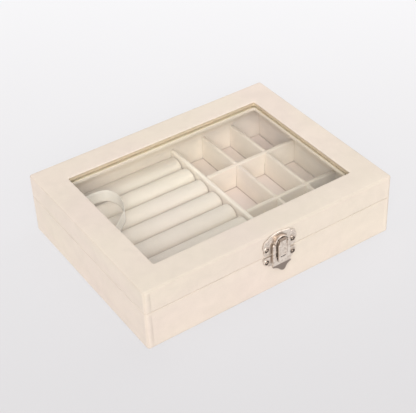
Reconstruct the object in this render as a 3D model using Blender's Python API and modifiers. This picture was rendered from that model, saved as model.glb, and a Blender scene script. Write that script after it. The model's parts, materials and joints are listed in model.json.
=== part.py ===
# Velvet jewelry box: a hinged lid with a glass window, ring rolls, compartments, a ribbon and a hasp.
# Metres. +X is right, +Y is back, +Z is up. The origin is under the box's middle, at floor level.

import math

import bmesh
import bpy
from mathutils import Matrix, Vector

# The whole box
box_width = 0.200
box_depth = 0.1524
base_height = 0.0300
lid_height = 0.0177
clearance = 0.0003
cut_overrun = 0.002
weld_distance = 0.00001

# Wall build, outside to inside
velvet_thickness = 0.0006
board_thickness = 0.0030
lining_thickness = 0.0013
corner_radius = 0.0018
top_edge_radius = 0.0010
rim_edge_radius = 0.0004
board_edge_radius = 0.0005

# Floor build, bottom to top
felt_thickness = 0.0006
felt_inset = 0.003
bottom_board_thickness = 0.002
floor_pad_thickness = 0.001

# Lid window
window_frame_width = 0.020
window_corner_radius = 0.002
top_board_thickness = 0.0025
glass_thickness = 0.002
glass_overlap = 0.0053
backing_thickness = 0.0012

# Ring rolls
ring_section_width = 0.1069
roll_count = 8
roll_wall_gap = 0.0024
roll_divider_gap = 0.0004
roll_edge_radius = 0.0009

# Compartments: the column dividers' places are shares of the compartments' width, and the row
# dividers' are shares of the box's inner depth
main_divider_thickness = 0.0034
divider_thickness = 0.003
divider_height = 0.0195
divider_edge_radius = 0.0010
column_divider_shares = (0.335, 0.666)
row_divider_shares = (-0.159, 0.187)
lap_clearance = 0.0004
lap_depth_share = 0.5

# Lid stay ribbon: its route as shares of the inner half width, of the inner half depth, and of the way
# that it can rise from lying on the rolls to lying under the glass frame
ribbon_width = 0.010
ribbon_thickness = 0.0004
ribbon_route_shares = (
    (-0.9905, -0.159, 0.960),
    (-0.960, -0.099, 0.850),
    (-0.881, -0.030, 0.670),
    (-0.796, 0.032, 0.493),
    (-0.732, 0.106, 0.359),
    (-0.678, 0.181, 0.246),
    (-0.628, 0.249, 0.146),
    (-0.591, 0.319, 0.078),
    (-0.564, 0.410, 0.050),
    (-0.551, 0.506, 0.050),
    (-0.559, 0.583, 0.050),
    (-0.592, 0.659, 0.050),
    (-0.653, 0.691, 0.050),
    (-0.722, 0.695, 0.050),
    (-0.791, 0.683, 0.050),
    (-0.865, 0.681, 0.045),
    (-0.930, 0.695, 0.034),
    (-0.973, 0.727, 0.022),
    (-0.9905, 0.781, -0.112),
    (-0.9905, 0.848, -0.314),
)
ribbon_steps_each = 4

# Hinges on the back
hinge_inset = 0.040
leaf_length = 0.022
leaf_height = 0.011
leaf_thickness = 0.0008
knuckle_radius = 0.0016
knuckle_count = 5
hinge_pin_radius = 0.0006
pin_clearance = 0.00015
leaf_nail_spacing = 0.012
nail_head_radius = 0.0013
nail_head_height = 0.0006
nail_shank_radius = 0.0004
nail_length = 0.0035
nail_dome_share = 0.7

# Latch plates
latch_x = 0.0034
plate_thickness = 0.0008
plate_half_width = 0.0134
upper_plate_height = 0.0158
upper_plate_above_rim = 0.0012
lower_plate_height = 0.0088
lower_plate_below_rim = 0.0004
latch_nail_spacing = 0.021
latch_nail_above_rim = 0.0064
latch_nail_below_rim = 0.0042
latch_nail_head_radius = 0.0009
scroll_radius = 0.0024
scroll_band = 0.0008
scroll_height = 0.0005
upper_plate_side_shares = (
    (0.88, 0.00, 0.14),
    (0.94, 0.26, 0.14),
    (0.96, 0.62, 0.18),
    (0.74, 0.81, 0.12),
    (0.44, 0.93, 0.0),
)
upper_plate_crown_share = 0.07
lower_plate_side_shares = (
    (0.50, 0.08, 0.10),
    (0.82, 0.22, 0.16),
    (0.93, 0.58, 0.16),
    (0.95, 1.00, 0.0),
)
lower_plate_foot_share = 0.05

# Hood and pin that carry the hasp
hood_radius = 0.0055
hood_wall = 0.0008
hood_centre_above_rim = 0.01065
hood_side_drop = 0.00045
hood_depth = 0.0028
hasp_pin_radius = 0.00045
hasp_pin_above_rim = 0.0120
hasp_pin_in_front = 0.0021
hasp_pin_half_length = 0.0051

# Hasp
hasp_thickness = 0.0008
hasp_half_width = 0.0071
hasp_leg_width = 0.0025
hasp_behind_pin_front = 0.0003
hasp_leg_top_below_pin = 0.0022
hasp_fold_below_pin = 0.0200
hasp_gap_bottom_above_fold = 0.0048
hasp_gap_round = 0.0030
curl_radius = 0.0018
curl_half_length = 0.0026
curl_stand_out = 0.00015
panel_half_width = 0.0034
panel_bottom_above_fold = 0.0016
panel_round = 0.0026
panel_shoulder_below_pin = 0.0018
boss_half_width = 0.0031
boss_bottom_above_fold = 0.0020
boss_height = 0.0042
recess_half_width = 0.0024
recess_depth = 0.00025
recess_bottom_above_fold = 0.0080
slot_half_length = 0.0022
slot_height = 0.0006
slot_above_fold = 0.0068
lip_half_width = 0.0073
lip_drop = 0.0050
lip_flare_degrees = 20.0
lip_root_overlap = 0.0006
lip_side_shares = (
    (0.20, 0.05, -0.05),
    (0.46, 0.50, -0.06),
    (0.95, 0.70, 0.12),
    (1.00, 1.00, 0.0),
)
lip_tip_share = 0.22
catch_half_width = 0.004
catch_height = 0.003
catch_depth = 0.0012
catch_below_rim = 0.0046

# Facets
round_steps = 16
small_round_steps = 10
roll_sides = 32
arc_steps = 6
corner_segments = 4
edge_segments = 2

# Worked out: walls
half_width = box_width / 2
half_depth = box_depth / 2
skin = velvet_thickness + clearance
board_outer_x = half_width - skin
board_outer_y = half_depth - skin
board_inner_x = board_outer_x - board_thickness
board_inner_y = board_outer_y - board_thickness
lining_outer_x = board_inner_x - clearance
lining_outer_y = board_inner_y - clearance
inner_x = lining_outer_x - lining_thickness
inner_y = lining_outer_y - lining_thickness

# Worked out: heights
bottom_board_low = felt_thickness + clearance
bottom_board_top = bottom_board_low + bottom_board_thickness
floor_level = bottom_board_top + clearance
pad_top = floor_level + floor_pad_thickness
tray_floor = pad_top + clearance
wall_top = base_height - skin
divider_top = tray_floor + divider_height
lid_bottom = base_height + clearance
lid_top = lid_bottom + lid_height
lid_wall_bottom = lid_bottom + skin
top_board_top = lid_top - skin
top_board_low = top_board_top - top_board_thickness
glass_top = top_board_low - clearance
glass_low = glass_top - glass_thickness
backing_top = glass_low - clearance
backing_low = backing_top - backing_thickness
window_half_x = half_width - window_frame_width
window_half_y = half_depth - window_frame_width
glass_half_x = window_half_x + glass_overlap
glass_half_y = window_half_y + glass_overlap

# Worked out: tray
main_divider_left = ring_section_width - inner_x
main_divider_right = main_divider_left + main_divider_thickness
roll_pitch = 2 * inner_y / roll_count
roll_radius = (roll_pitch - clearance) / 2
roll_centre_z = tray_floor + roll_radius
roll_top = roll_centre_z + roll_radius
ribbon_low_z = roll_top + ribbon_width / 2
ribbon_room = backing_low - roll_top - ribbon_width
compartments_width = inner_x - main_divider_right
column_divider_xs = [
    main_divider_right + share * compartments_width for share in column_divider_shares
]
row_divider_ys = [share * 2 * inner_y for share in row_divider_shares]

# Worked out: joints
hinge_xs = (hinge_inset - half_width, half_width - hinge_inset)
hinge_axis_z = (base_height + lid_bottom) / 2
hinge_axis_y = half_depth + clearance + knuckle_radius
plate_back_y = -half_depth - clearance
plate_front_y = plate_back_y - plate_thickness
hasp_axis_y = plate_front_y - hasp_pin_in_front
hasp_axis_z = lid_bottom + hasp_pin_above_rim - clearance
hasp_fold_z = hasp_axis_z - hasp_fold_below_pin
panel_front_y = hasp_axis_y - curl_radius + curl_stand_out
panel_back_y = panel_front_y + hasp_thickness
hasp_front_y = hasp_axis_y - hasp_behind_pin_front
hasp_back_y = hasp_front_y + hasp_thickness


def clear_scene():
    for item in list(bpy.data.objects):
        bpy.data.objects.remove(item, do_unlink=True)


def new_collection(name):
    collection = bpy.data.collections.new(name)
    bpy.context.scene.collection.children.link(collection)
    return collection


clear_scene()
part_collection = new_collection("jewelry_organizer_box")
cutter_collection = new_collection("cutters")


def make_material(name, colour, roughness, metallic=0.0, transmission=0.0):
    material = bpy.data.materials.new(name)
    material.use_nodes = True
    shader = material.node_tree.nodes["Principled BSDF"]
    shader.inputs["Base Color"].default_value = (*colour, 1.0)
    shader.inputs["Roughness"].default_value = roughness
    shader.inputs["Metallic"].default_value = metallic
    shader.inputs["Transmission Weight"].default_value = transmission
    return material


outer_velvet = make_material("outer_velvet", (0.84, 0.73, 0.63), 0.9)
inner_velvet = make_material("inner_velvet", (0.76, 0.64, 0.53), 0.9)
roll_velvet = make_material("roll_velvet", (0.83, 0.73, 0.62), 0.9)
board = make_material("board", (0.56, 0.42, 0.25), 0.8)
felt = make_material("felt", (0.70, 0.62, 0.53), 0.95)
satin = make_material("satin", (0.92, 0.88, 0.82), 0.35)
glass = make_material("glass", (0.97, 0.98, 0.97), 0.03, transmission=1.0)
latch_nickel = make_material("latch_nickel", (0.58, 0.53, 0.47), 0.35, metallic=1.0)
hinge_nickel = make_material("hinge_nickel", (0.62, 0.59, 0.55), 0.3, metallic=1.0)

# The lid turns about its hinge axis and the hasp about its pin, so each has an empty there


def add_pivot(name, location, parent=None):
    pivot = bpy.data.objects.new(name, None)
    pivot.empty_display_size = knuckle_radius
    part_collection.objects.link(pivot)
    pivot.location = location
    if parent is not None:
        pivot.parent = parent
        pivot.location = Vector(location) - parent.location
    bpy.context.view_layer.update()
    return pivot


lid_pivot = add_pivot("lid_pivot", (0, hinge_axis_y, hinge_axis_z))
hasp_pivot = add_pivot("hasp_pivot", (latch_x, hasp_axis_y, hasp_axis_z), lid_pivot)


def add_piece(name, mesh, material, location=(0, 0, 0), pivot=None, smooth=False):
    """Links a mesh as one named piece, at a place in the world."""
    piece = bpy.data.objects.new(name, mesh)
    piece.data.materials.append(material)
    part_collection.objects.link(piece)
    piece.location = location
    if pivot is not None:
        piece.parent = pivot
        piece.matrix_parent_inverse = pivot.matrix_world.inverted()
    if smooth:
        mesh.shade_smooth()
        mesh.set_sharp_from_angle(angle=math.radians(35))
    return piece


def add_cutter(name, mesh, location=(0, 0, 0)):
    cutter = bpy.data.objects.new(name, mesh)
    cutter_collection.objects.link(cutter)
    cutter.location = location
    cutter.hide_render = True
    cutter.display_type = "WIRE"
    return cutter


def combine(piece, cutter, operation="DIFFERENCE"):
    modifier = piece.modifiers.new(cutter.name, "BOOLEAN")
    modifier.operation = operation
    modifier.solver = "EXACT"
    modifier.object = cutter


def mesh_from(bm, name):
    mesh = bpy.data.meshes.new(name)
    bm.to_mesh(mesh)
    bm.free()
    return mesh


def box_bmesh(size):
    bm = bmesh.new()
    bmesh.ops.create_cube(bm, size=1.0)
    bmesh.ops.scale(bm, vec=size, verts=bm.verts)
    return bm


def upright_edges(bm):
    return [edge for edge in bm.edges if abs(edge.verts[0].co.z - edge.verts[1].co.z) > clearance]


def level_edges(bm, side):
    """The rim of a box mesh's top (side 1) or bottom (side -1)."""
    level = side * max(vertex.co.z for vertex in bm.verts)
    return [edge for edge in bm.edges if all(abs(v.co.z - level) < weld_distance for v in edge.verts)]


def round_edges(bm, edges, radius, segments):
    bmesh.ops.bevel(
        bm,
        geom=edges,
        offset=radius,
        segments=segments,
        affect="EDGES",
        profile=0.5,
        clamp_overlap=True,
    )


def span_mesh(name, low, high, corner=0.0, top=0.0, bottom=0.0):
    """A box between two corners with rounded uprights, top rim and bottom rim, and its centre."""
    size = [b - a for a, b in zip(low, high)]
    centre = [(a + b) / 2 for a, b in zip(low, high)]
    bm = box_bmesh(size)
    if corner:
        round_edges(bm, upright_edges(bm), corner, corner_segments)
    if top:
        round_edges(bm, level_edges(bm, 1), top, edge_segments)
    if bottom:
        round_edges(bm, level_edges(bm, -1), bottom, edge_segments)
    return mesh_from(bm, name), centre


def add_block(name, low, high, material, pivot=None, corner=0.0, top=0.0, bottom=0.0):
    mesh, centre = span_mesh(name, low, high, corner, top, bottom)
    return add_piece(name, mesh, material, centre, pivot)


def add_block_cutter(name, low, high, corner=0.0):
    mesh, centre = span_mesh(name, low, high, corner)
    return add_cutter(name, mesh, centre)


def rods_mesh(name, places, radius, length, axis, steps):
    """One mesh of separate rods, each centred on a place and lying along an axis."""
    turn = Vector((0, 0, 1)).rotation_difference(Vector(axis)).to_matrix().to_4x4()
    bm = bmesh.new()
    for place in places:
        bmesh.ops.create_cone(
            bm,
            cap_ends=True,
            segments=steps,
            radius1=radius,
            radius2=radius,
            depth=length,
            matrix=Matrix.Translation(place) @ turn,
        )
    return mesh_from(bm, name)


def outline_mesh(name, points, thickness):
    """A flat outline in local X and Y, thickened evenly about its plane."""
    curve = bpy.data.curves.new(name, "CURVE")
    curve.dimensions = "2D"
    curve.fill_mode = "BOTH"
    curve.extrude = thickness / 2
    spline = curve.splines.new("POLY")
    spline.points.add(len(points) - 1)
    for point, (x, y) in zip(spline.points, points):
        point.co = (x, y, 0, 1)
    spline.use_cyclic_u = True
    drawn = bpy.data.objects.new(name, curve)
    bpy.context.scene.collection.objects.link(drawn)
    bpy.context.view_layer.update()
    evaluated = drawn.evaluated_get(bpy.context.evaluated_depsgraph_get())
    mesh = bpy.data.meshes.new_from_object(evaluated)
    bpy.data.objects.remove(drawn, do_unlink=True)
    bpy.data.curves.remove(curve)
    bm = bmesh.new()
    bm.from_mesh(mesh)
    bmesh.ops.remove_doubles(bm, verts=bm.verts, dist=weld_distance)
    bm.to_mesh(mesh)
    bm.free()
    return mesh


def stand_up(mesh, x, front_y, z, thickness):
    """Turns a flat mesh to face the front, with its front face at front_y."""
    mesh.transform(Matrix.Rotation(math.radians(90), 4, "X"))
    mesh.transform(Matrix.Translation((x, front_y + thickness / 2, z)))
    return mesh


def arc(centre_x, centre_y, radius_x, radius_y, start, end, steps=arc_steps):
    turn = (end - start) / steps
    angles = [math.radians(start + turn * step) for step in range(steps + 1)]
    return [
        (centre_x + radius_x * math.cos(a), centre_y + radius_y * math.sin(a)) for a in angles
    ]


def bulged(start, end, bulge_share, steps=arc_steps):
    """Points from start up to, not with, end, bowed to the right by a share of the chord."""
    across = (end[1] - start[1], start[0] - end[0])
    points = []
    for step in range(steps if bulge_share else 1):
        t = step / steps
        bow = 4 * bulge_share * t * (1 - t)
        points.append(
            (
                start[0] + (end[0] - start[0]) * t + across[0] * bow,
                start[1] + (end[1] - start[1]) * t + across[1] * bow,
            )
        )
    return points


def lobed_outline(side_shares, crown_share, foot_share, half_wide, height):
    """A symmetric outline of bowed edges: the right side from the foot up, the crown, then the left."""
    right = [(x * half_wide, z * height) for x, z, _ in side_shares]
    left = [(-x, z) for x, z in reversed(right)]
    corners = right + left
    side_bows = [bow for _, _, bow in side_shares[:-1]]
    bows = side_bows + [crown_share] + side_bows[::-1] + [foot_share]
    points = []
    for number, start in enumerate(corners):
        end = corners[(number + 1) % len(corners)]
        points += bulged(start, end, bows[number])
    return points


# Coverings: a thin skin outside the boards that also turns in over the rim


def nail_hole_places(z_latch, z_hinge):
    latch = [
        (latch_x + side * latch_nail_spacing / 2, -half_depth, z_latch) for side in (-1, 1)
    ]
    hinge = [
        (hinge_x + side * leaf_nail_spacing / 2, half_depth, z_hinge)
        for hinge_x in hinge_xs
        for side in (-1, 1)
    ]
    return latch, hinge


latch_nail_upper_z = base_height + latch_nail_above_rim
latch_nail_lower_z = base_height - latch_nail_below_rim
leaf_nail_offset = (knuckle_radius + leaf_height) / 2
nail_bore_length = 2 * (nail_length + board_thickness)
lid_latch_nails, lid_hinge_nail_places = nail_hole_places(
    latch_nail_upper_z, hinge_axis_z + leaf_nail_offset
)
base_latch_nails, base_hinge_nail_places = nail_hole_places(
    latch_nail_lower_z, hinge_axis_z - leaf_nail_offset
)
nail_bore_radius = nail_shank_radius + clearance


def add_nail_cutter(name, places):
    mesh = rods_mesh(
        name, places, nail_bore_radius, nail_bore_length, (0, 1, 0), small_round_steps
    )
    return add_cutter(name, mesh)


lid_nail_cutter = add_nail_cutter("lid_nail_bores", lid_latch_nails + lid_hinge_nail_places)
base_nail_cutter = add_nail_cutter("base_nail_bores", base_latch_nails + base_hinge_nail_places)


def build_base_covering():
    wrap = add_block(
        "base_velvet_wrap",
        (-half_width, -half_depth, felt_thickness / 2),
        (half_width, half_depth, base_height),
        outer_velvet,
        corner=corner_radius,
        top=rim_edge_radius,
        bottom=rim_edge_radius,
    )
    skin_x = half_width - velvet_thickness
    skin_y = half_depth - velvet_thickness
    hollow = add_block_cutter(
        "base_wrap_hollow",
        (-skin_x, -skin_y, -cut_overrun),
        (skin_x, skin_y, base_height - velvet_thickness),
        corner=corner_radius - velvet_thickness,
    )
    mouth = add_block_cutter(
        "base_wrap_mouth",
        (-inner_x, -inner_y, 0),
        (inner_x, inner_y, base_height + cut_overrun),
    )
    combine(wrap, hollow)
    combine(wrap, mouth)
    combine(wrap, base_nail_cutter)


def build_lid_covering():
    wrap = add_block(
        "lid_velvet_wrap",
        (-half_width, -half_depth, lid_bottom),
        (half_width, half_depth, lid_top),
        outer_velvet,
        lid_pivot,
        corner=corner_radius,
        top=top_edge_radius,
        bottom=rim_edge_radius,
    )
    skin_x = half_width - velvet_thickness
    skin_y = half_depth - velvet_thickness
    hollow = add_block_cutter(
        "lid_wrap_hollow",
        (-skin_x, -skin_y, lid_bottom + velvet_thickness),
        (skin_x, skin_y, lid_top - velvet_thickness),
        corner=corner_radius - velvet_thickness,
    )
    mouth = add_block_cutter(
        "lid_wrap_mouth",
        (-inner_x, -inner_y, lid_bottom - cut_overrun),
        (inner_x, inner_y, glass_low),
    )
    combine(wrap, hollow)
    combine(wrap, mouth)
    combine(wrap, window_cutter)
    combine(wrap, lid_nail_cutter)


window_cutter = add_block_cutter(
    "window_opening",
    (-window_half_x, -window_half_y, backing_low - cut_overrun),
    (window_half_x, window_half_y, lid_top + cut_overrun),
    corner=window_corner_radius,
)


# Boards and linings: four straight pieces round a rectangle, the side pieces between the long ones


def add_walls(prefix, suffix, outer_x, outer_y, thickness, low, high, material, pivot, edge=0.0):
    inner_edge_y = outer_y - thickness
    side_y = inner_edge_y - clearance
    walls = {}
    for word, side in (("front", -1), ("back", 1)):
        span = sorted((side * outer_y, side * inner_edge_y))
        walls[word] = add_block(
            f"{prefix}_{word}_{suffix}",
            (-outer_x, span[0], low),
            (outer_x, span[1], high),
            material,
            pivot,
            corner=edge,
        )
    for word, side in (("left", -1), ("right", 1)):
        span = sorted((side * outer_x, side * (outer_x - thickness)))
        walls[word] = add_block(
            f"{prefix}_{word}_{suffix}",
            (span[0], -side_y, low),
            (span[1], side_y, high),
            material,
            pivot,
        )
    return walls


def build_base_boards():
    add_block(
        "bottom_felt",
        (-half_width + felt_inset, -half_depth + felt_inset, 0),
        (half_width - felt_inset, half_depth - felt_inset, felt_thickness),
        felt,
    )
    add_block(
        "base_bottom_board",
        (-board_outer_x, -board_outer_y, bottom_board_low),
        (board_outer_x, board_outer_y, bottom_board_top),
        board,
        corner=board_edge_radius,
    )
    walls = add_walls(
        "base", "board", board_outer_x, board_outer_y, board_thickness,
        floor_level, wall_top, board, None, board_edge_radius,
    )
    combine(walls["front"], base_nail_cutter)
    combine(walls["back"], base_nail_cutter)
    add_walls(
        "base", "lining", lining_outer_x, lining_outer_y, lining_thickness,
        floor_level, wall_top, inner_velvet, None,
    )


def build_lid_boards():
    frame = add_block(
        "lid_top_frame",
        (-board_outer_x, -board_outer_y, top_board_low),
        (board_outer_x, board_outer_y, top_board_top),
        board,
        lid_pivot,
        corner=board_edge_radius,
    )
    combine(frame, window_cutter)
    walls = add_walls(
        "lid", "rail", board_outer_x, board_outer_y, board_thickness,
        lid_wall_bottom, glass_top, board, lid_pivot, board_edge_radius,
    )
    combine(walls["front"], lid_nail_cutter)
    combine(walls["back"], lid_nail_cutter)
    add_walls(
        "lid", "lining", lining_outer_x, lining_outer_y, lining_thickness,
        lid_wall_bottom, backing_low - clearance, inner_velvet, lid_pivot,
    )


def build_window():
    add_block(
        "window_glass",
        (-glass_half_x, -glass_half_y, glass_low),
        (glass_half_x, glass_half_y, glass_top),
        glass,
        lid_pivot,
    )
    frame = add_block(
        "lid_glass_frame",
        (-lining_outer_x, -lining_outer_y, backing_low),
        (lining_outer_x, lining_outer_y, glass_top),
        inner_velvet,
        lid_pivot,
    )
    pocket_x = glass_half_x + clearance
    pocket_y = glass_half_y + clearance
    pocket = add_block_cutter(
        "glass_pocket",
        (-pocket_x, -pocket_y, backing_top),
        (pocket_x, pocket_y, glass_top + cut_overrun),
    )
    combine(frame, pocket)
    combine(frame, window_cutter)


# Tray: floor pad, ring rolls and half-lapped dividers


def build_floor_pad():
    add_block(
        "floor_pad",
        (-inner_x + clearance, -inner_y + clearance, floor_level),
        (inner_x - clearance, inner_y - clearance, pad_top),
        inner_velvet,
    )


def build_ring_rolls():
    left = -inner_x + roll_wall_gap
    right = main_divider_left - roll_divider_gap
    half_facet = Matrix.Rotation(math.pi / roll_sides, 4, "Z")
    along_x = Matrix.Rotation(math.radians(90), 4, "Y")
    for number in range(roll_count):
        bm = bmesh.new()
        bmesh.ops.create_cone(
            bm,
            cap_ends=True,
            segments=roll_sides,
            radius1=roll_radius,
            radius2=roll_radius,
            depth=right - left,
            matrix=along_x @ half_facet,
        )
        rims = [
            edge
            for edge in bm.edges
            if abs(edge.verts[0].co.x - edge.verts[1].co.x) < clearance
        ]
        round_edges(bm, rims, roll_edge_radius, edge_segments)
        y = inner_y - roll_pitch * (number + 0.5)
        add_piece(
            f"ring_roll_{number + 1}",
            mesh_from(bm, "roll"),
            roll_velvet,
            ((left + right) / 2, y, roll_centre_z),
            smooth=True,
        )


def add_lap_cutter(name, places, low, high):
    """One cutter with a notch at each crossing, as wide as a divider and its clearance."""
    width = divider_thickness + 2 * lap_clearance
    bm = bmesh.new()
    for x, y in places:
        scale = Matrix.Diagonal((width, width, high - low, 1.0))
        centre = Matrix.Translation((x, y, (low + high) / 2))
        bmesh.ops.create_cube(bm, size=1.0, matrix=centre @ scale)
    return add_cutter(name, mesh_from(bm, name))


def build_dividers():
    add_block(
        "main_divider",
        (main_divider_left, -inner_y + clearance, tray_floor),
        (main_divider_right, inner_y - clearance, divider_top),
        inner_velvet,
        top=divider_edge_radius,
    )
    crossings = [(x, y) for x in column_divider_xs for y in row_divider_ys]
    lap_level = tray_floor + divider_height * lap_depth_share
    top_laps = add_lap_cutter(
        "column_laps", crossings, lap_level - clearance / 2, divider_top + cut_overrun
    )
    bottom_laps = add_lap_cutter(
        "row_laps", crossings, tray_floor - cut_overrun, lap_level + clearance / 2
    )
    half_thick = divider_thickness / 2
    for name, x in zip(("column_divider_left", "column_divider_right"), column_divider_xs):
        divider = add_block(
            name,
            (x - half_thick, -inner_y + clearance, tray_floor),
            (x + half_thick, inner_y - clearance, divider_top),
            inner_velvet,
            top=divider_edge_radius,
        )
        combine(divider, top_laps)
    for name, y in zip(("row_divider_front", "row_divider_back"), row_divider_ys):
        divider = add_block(
            name,
            (main_divider_right + clearance, y - half_thick, tray_floor),
            (inner_x - clearance, y + half_thick, divider_top),
            inner_velvet,
            top=divider_edge_radius,
        )
        combine(divider, bottom_laps)


# Ribbon: stands on edge above the rolls, one end on the lid's left lining and one on the base's


def smooth_route(places, steps_each):
    """Points on one smooth curve through the places."""
    padded = [2 * places[0] - places[1], *places, 2 * places[-1] - places[-2]]
    route = []
    for before, start, end, after in zip(padded, padded[1:], padded[2:], padded[3:]):
        for step in range(steps_each):
            t = step / steps_each
            route.append(
                (
                    2 * start
                    + (end - before) * t
                    + (2 * before - 5 * start + 4 * end - after) * t**2
                    + (3 * start - before - 3 * end + after) * t**3
                )
                / 2
            )
    route.append(places[-1])
    return route


def build_ribbon():
    places = [
        Vector((x * inner_x, y * inner_y, ribbon_low_z + rise * ribbon_room))
        for x, y, rise in ribbon_route_shares
    ]
    route = smooth_route(places, ribbon_steps_each)
    half_tall = Vector((0, 0, ribbon_width / 2))
    bm = bmesh.new()
    lower = [bm.verts.new(place - half_tall) for place in route]
    edges = [bm.edges.new(pair) for pair in zip(lower, lower[1:])]
    raised = bmesh.ops.extrude_edge_only(bm, edges=edges)["geom"]
    upper = [item for item in raised if isinstance(item, bmesh.types.BMVert)]
    bmesh.ops.translate(bm, vec=2 * half_tall, verts=upper)
    ribbon = add_piece("lid_stay_ribbon", mesh_from(bm, "ribbon"), satin)
    solidify = ribbon.modifiers.new("thickness", "SOLIDIFY")
    solidify.thickness = ribbon_thickness
    solidify.offset = 0
    length = sum((b - a).length for a, b in zip(route, route[1:]))
    print(f"ribbon length {length * 1000:.1f} mm")


# Hinges: each leaf is a plate with its own knuckles, cut away round the other leaf's


def build_hinge_leaf(name, hinge_x, side, own_numbers, pivot, nail_places):
    outer = hinge_axis_z + side * leaf_height
    near = hinge_axis_z + side * clearance
    low, high = sorted((outer, near))
    leaf = add_block(
        name,
        (hinge_x - leaf_length / 2, half_depth + clearance, low),
        (hinge_x + leaf_length / 2, half_depth + clearance + leaf_thickness, high),
        hinge_nickel,
        pivot,
    )
    knuckle_pitch = leaf_length / knuckle_count
    places = [
        (
            hinge_x - leaf_length / 2 + knuckle_pitch * (number + 0.5),
            hinge_axis_y,
            hinge_axis_z,
        )
        for number in range(knuckle_count)
    ]
    own = [places[number] for number in own_numbers]
    others = [place for place in places if place not in own]
    notch_length = knuckle_pitch + 2 * clearance
    notches = rods_mesh(
        name, others, knuckle_radius + clearance, notch_length, (1, 0, 0), round_steps
    )
    combine(leaf, add_cutter(f"{name}_notches", notches))
    knuckle_length = knuckle_pitch - clearance
    knuckles = rods_mesh(name, own, knuckle_radius, knuckle_length, (1, 0, 0), round_steps)
    combine(leaf, add_cutter(f"{name}_knuckles", knuckles), "UNION")
    bore = rods_mesh(
        name,
        [(hinge_x, hinge_axis_y, hinge_axis_z)],
        hinge_pin_radius + pin_clearance,
        leaf_length + cut_overrun,
        (1, 0, 0),
        small_round_steps,
    )
    combine(leaf, add_cutter(f"{name}_bore", bore))
    combine(leaf, add_nail_cutter(f"{name}_nail_bores", nail_places))


def build_hinges():
    base_numbers = range(0, knuckle_count, 2)
    lid_numbers = range(1, knuckle_count, 2)
    for word, hinge_x in zip(("left", "right"), hinge_xs):
        build_hinge_leaf(
            f"hinge_{word}_base_leaf", hinge_x, -1, base_numbers, None, base_hinge_nail_places
        )
        build_hinge_leaf(
            f"hinge_{word}_lid_leaf", hinge_x, 1, lid_numbers, lid_pivot, lid_hinge_nail_places
        )
        pin = rods_mesh(
            "hinge_pin", [(0, 0, 0)], hinge_pin_radius, leaf_length, (1, 0, 0), small_round_steps
        )
        place = (hinge_x, hinge_axis_y, hinge_axis_z)
        add_piece(f"hinge_{word}_pin", pin, hinge_nickel, place, smooth=True)


def nail_mesh(head_radius, outward):
    """A domed nail turned about Z and laid along Y, with its seat at the origin."""
    profile = [
        (0, nail_head_height),
        (head_radius * nail_dome_share, nail_head_height * nail_dome_share),
        (head_radius, 0),
        (nail_shank_radius, 0),
        (nail_shank_radius, -nail_length),
        (0, -nail_length),
    ]
    bm = bmesh.new()
    verts = [bm.verts.new((radius, 0, height)) for radius, height in profile]
    edges = [bm.edges.new(pair) for pair in zip(verts, verts[1:])]
    bmesh.ops.spin(
        bm,
        geom=verts + edges,
        cent=(0, 0, 0),
        axis=(0, 0, 1),
        angle=math.tau,
        steps=small_round_steps,
        use_merge=True,
    )
    bmesh.ops.remove_doubles(bm, verts=bm.verts, dist=weld_distance)
    bmesh.ops.recalc_face_normals(bm, faces=bm.faces)
    turn = Vector((0, 0, 1)).rotation_difference(Vector((0, outward, 0))).to_matrix().to_4x4()
    bmesh.ops.transform(bm, matrix=turn, verts=bm.verts)
    return mesh_from(bm, "nail")


def add_nails(names, places, outward, seat_y, head_radius, material, pivot):
    for name, (x, _, z) in zip(names, places):
        place = (x, seat_y + outward * clearance, z)
        add_piece(name, nail_mesh(head_radius, outward), material, place, pivot, smooth=True)


def build_hinge_nails():
    seat_y = half_depth + clearance + leaf_thickness
    for word, places, pivot in (
        ("base", base_hinge_nail_places, None),
        ("lid", lid_hinge_nail_places, lid_pivot),
    ):
        names = [
            f"hinge_{side}_{word}_nail_{number}" for side in ("left", "right") for number in (1, 2)
        ]
        add_nails(names, places, 1, seat_y, nail_head_radius, hinge_nickel, pivot)


# Latch: scalloped plates with a ring round each nail, a hood on the upper one, a catch on the lower


def add_plate(name, points, low_z, nail_places, pivot):
    mesh = stand_up(
        outline_mesh(name, points, plate_thickness), latch_x, plate_front_y, low_z, plate_thickness
    )
    plate = add_piece(name, mesh, latch_nickel, pivot=pivot)
    depth = plate_thickness / 2 + scroll_height
    ring_places = [(x, plate_front_y + depth / 2 - scroll_height, z) for x, _, z in nail_places]
    discs = rods_mesh(name, ring_places, scroll_radius, depth, (0, 1, 0), round_steps)
    combine(plate, add_cutter(f"{name}_rings", discs), "UNION")
    dish_places = [(x, plate_front_y - scroll_height, z) for x, _, z in nail_places]
    dish_radius = scroll_radius - scroll_band
    dishes = rods_mesh(name, dish_places, dish_radius, 2 * scroll_height, (0, 1, 0), round_steps)
    combine(plate, add_cutter(f"{name}_dishes", dishes))
    combine(plate, add_nail_cutter(f"{name}_nail_bores", nail_places))
    return plate


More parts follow.
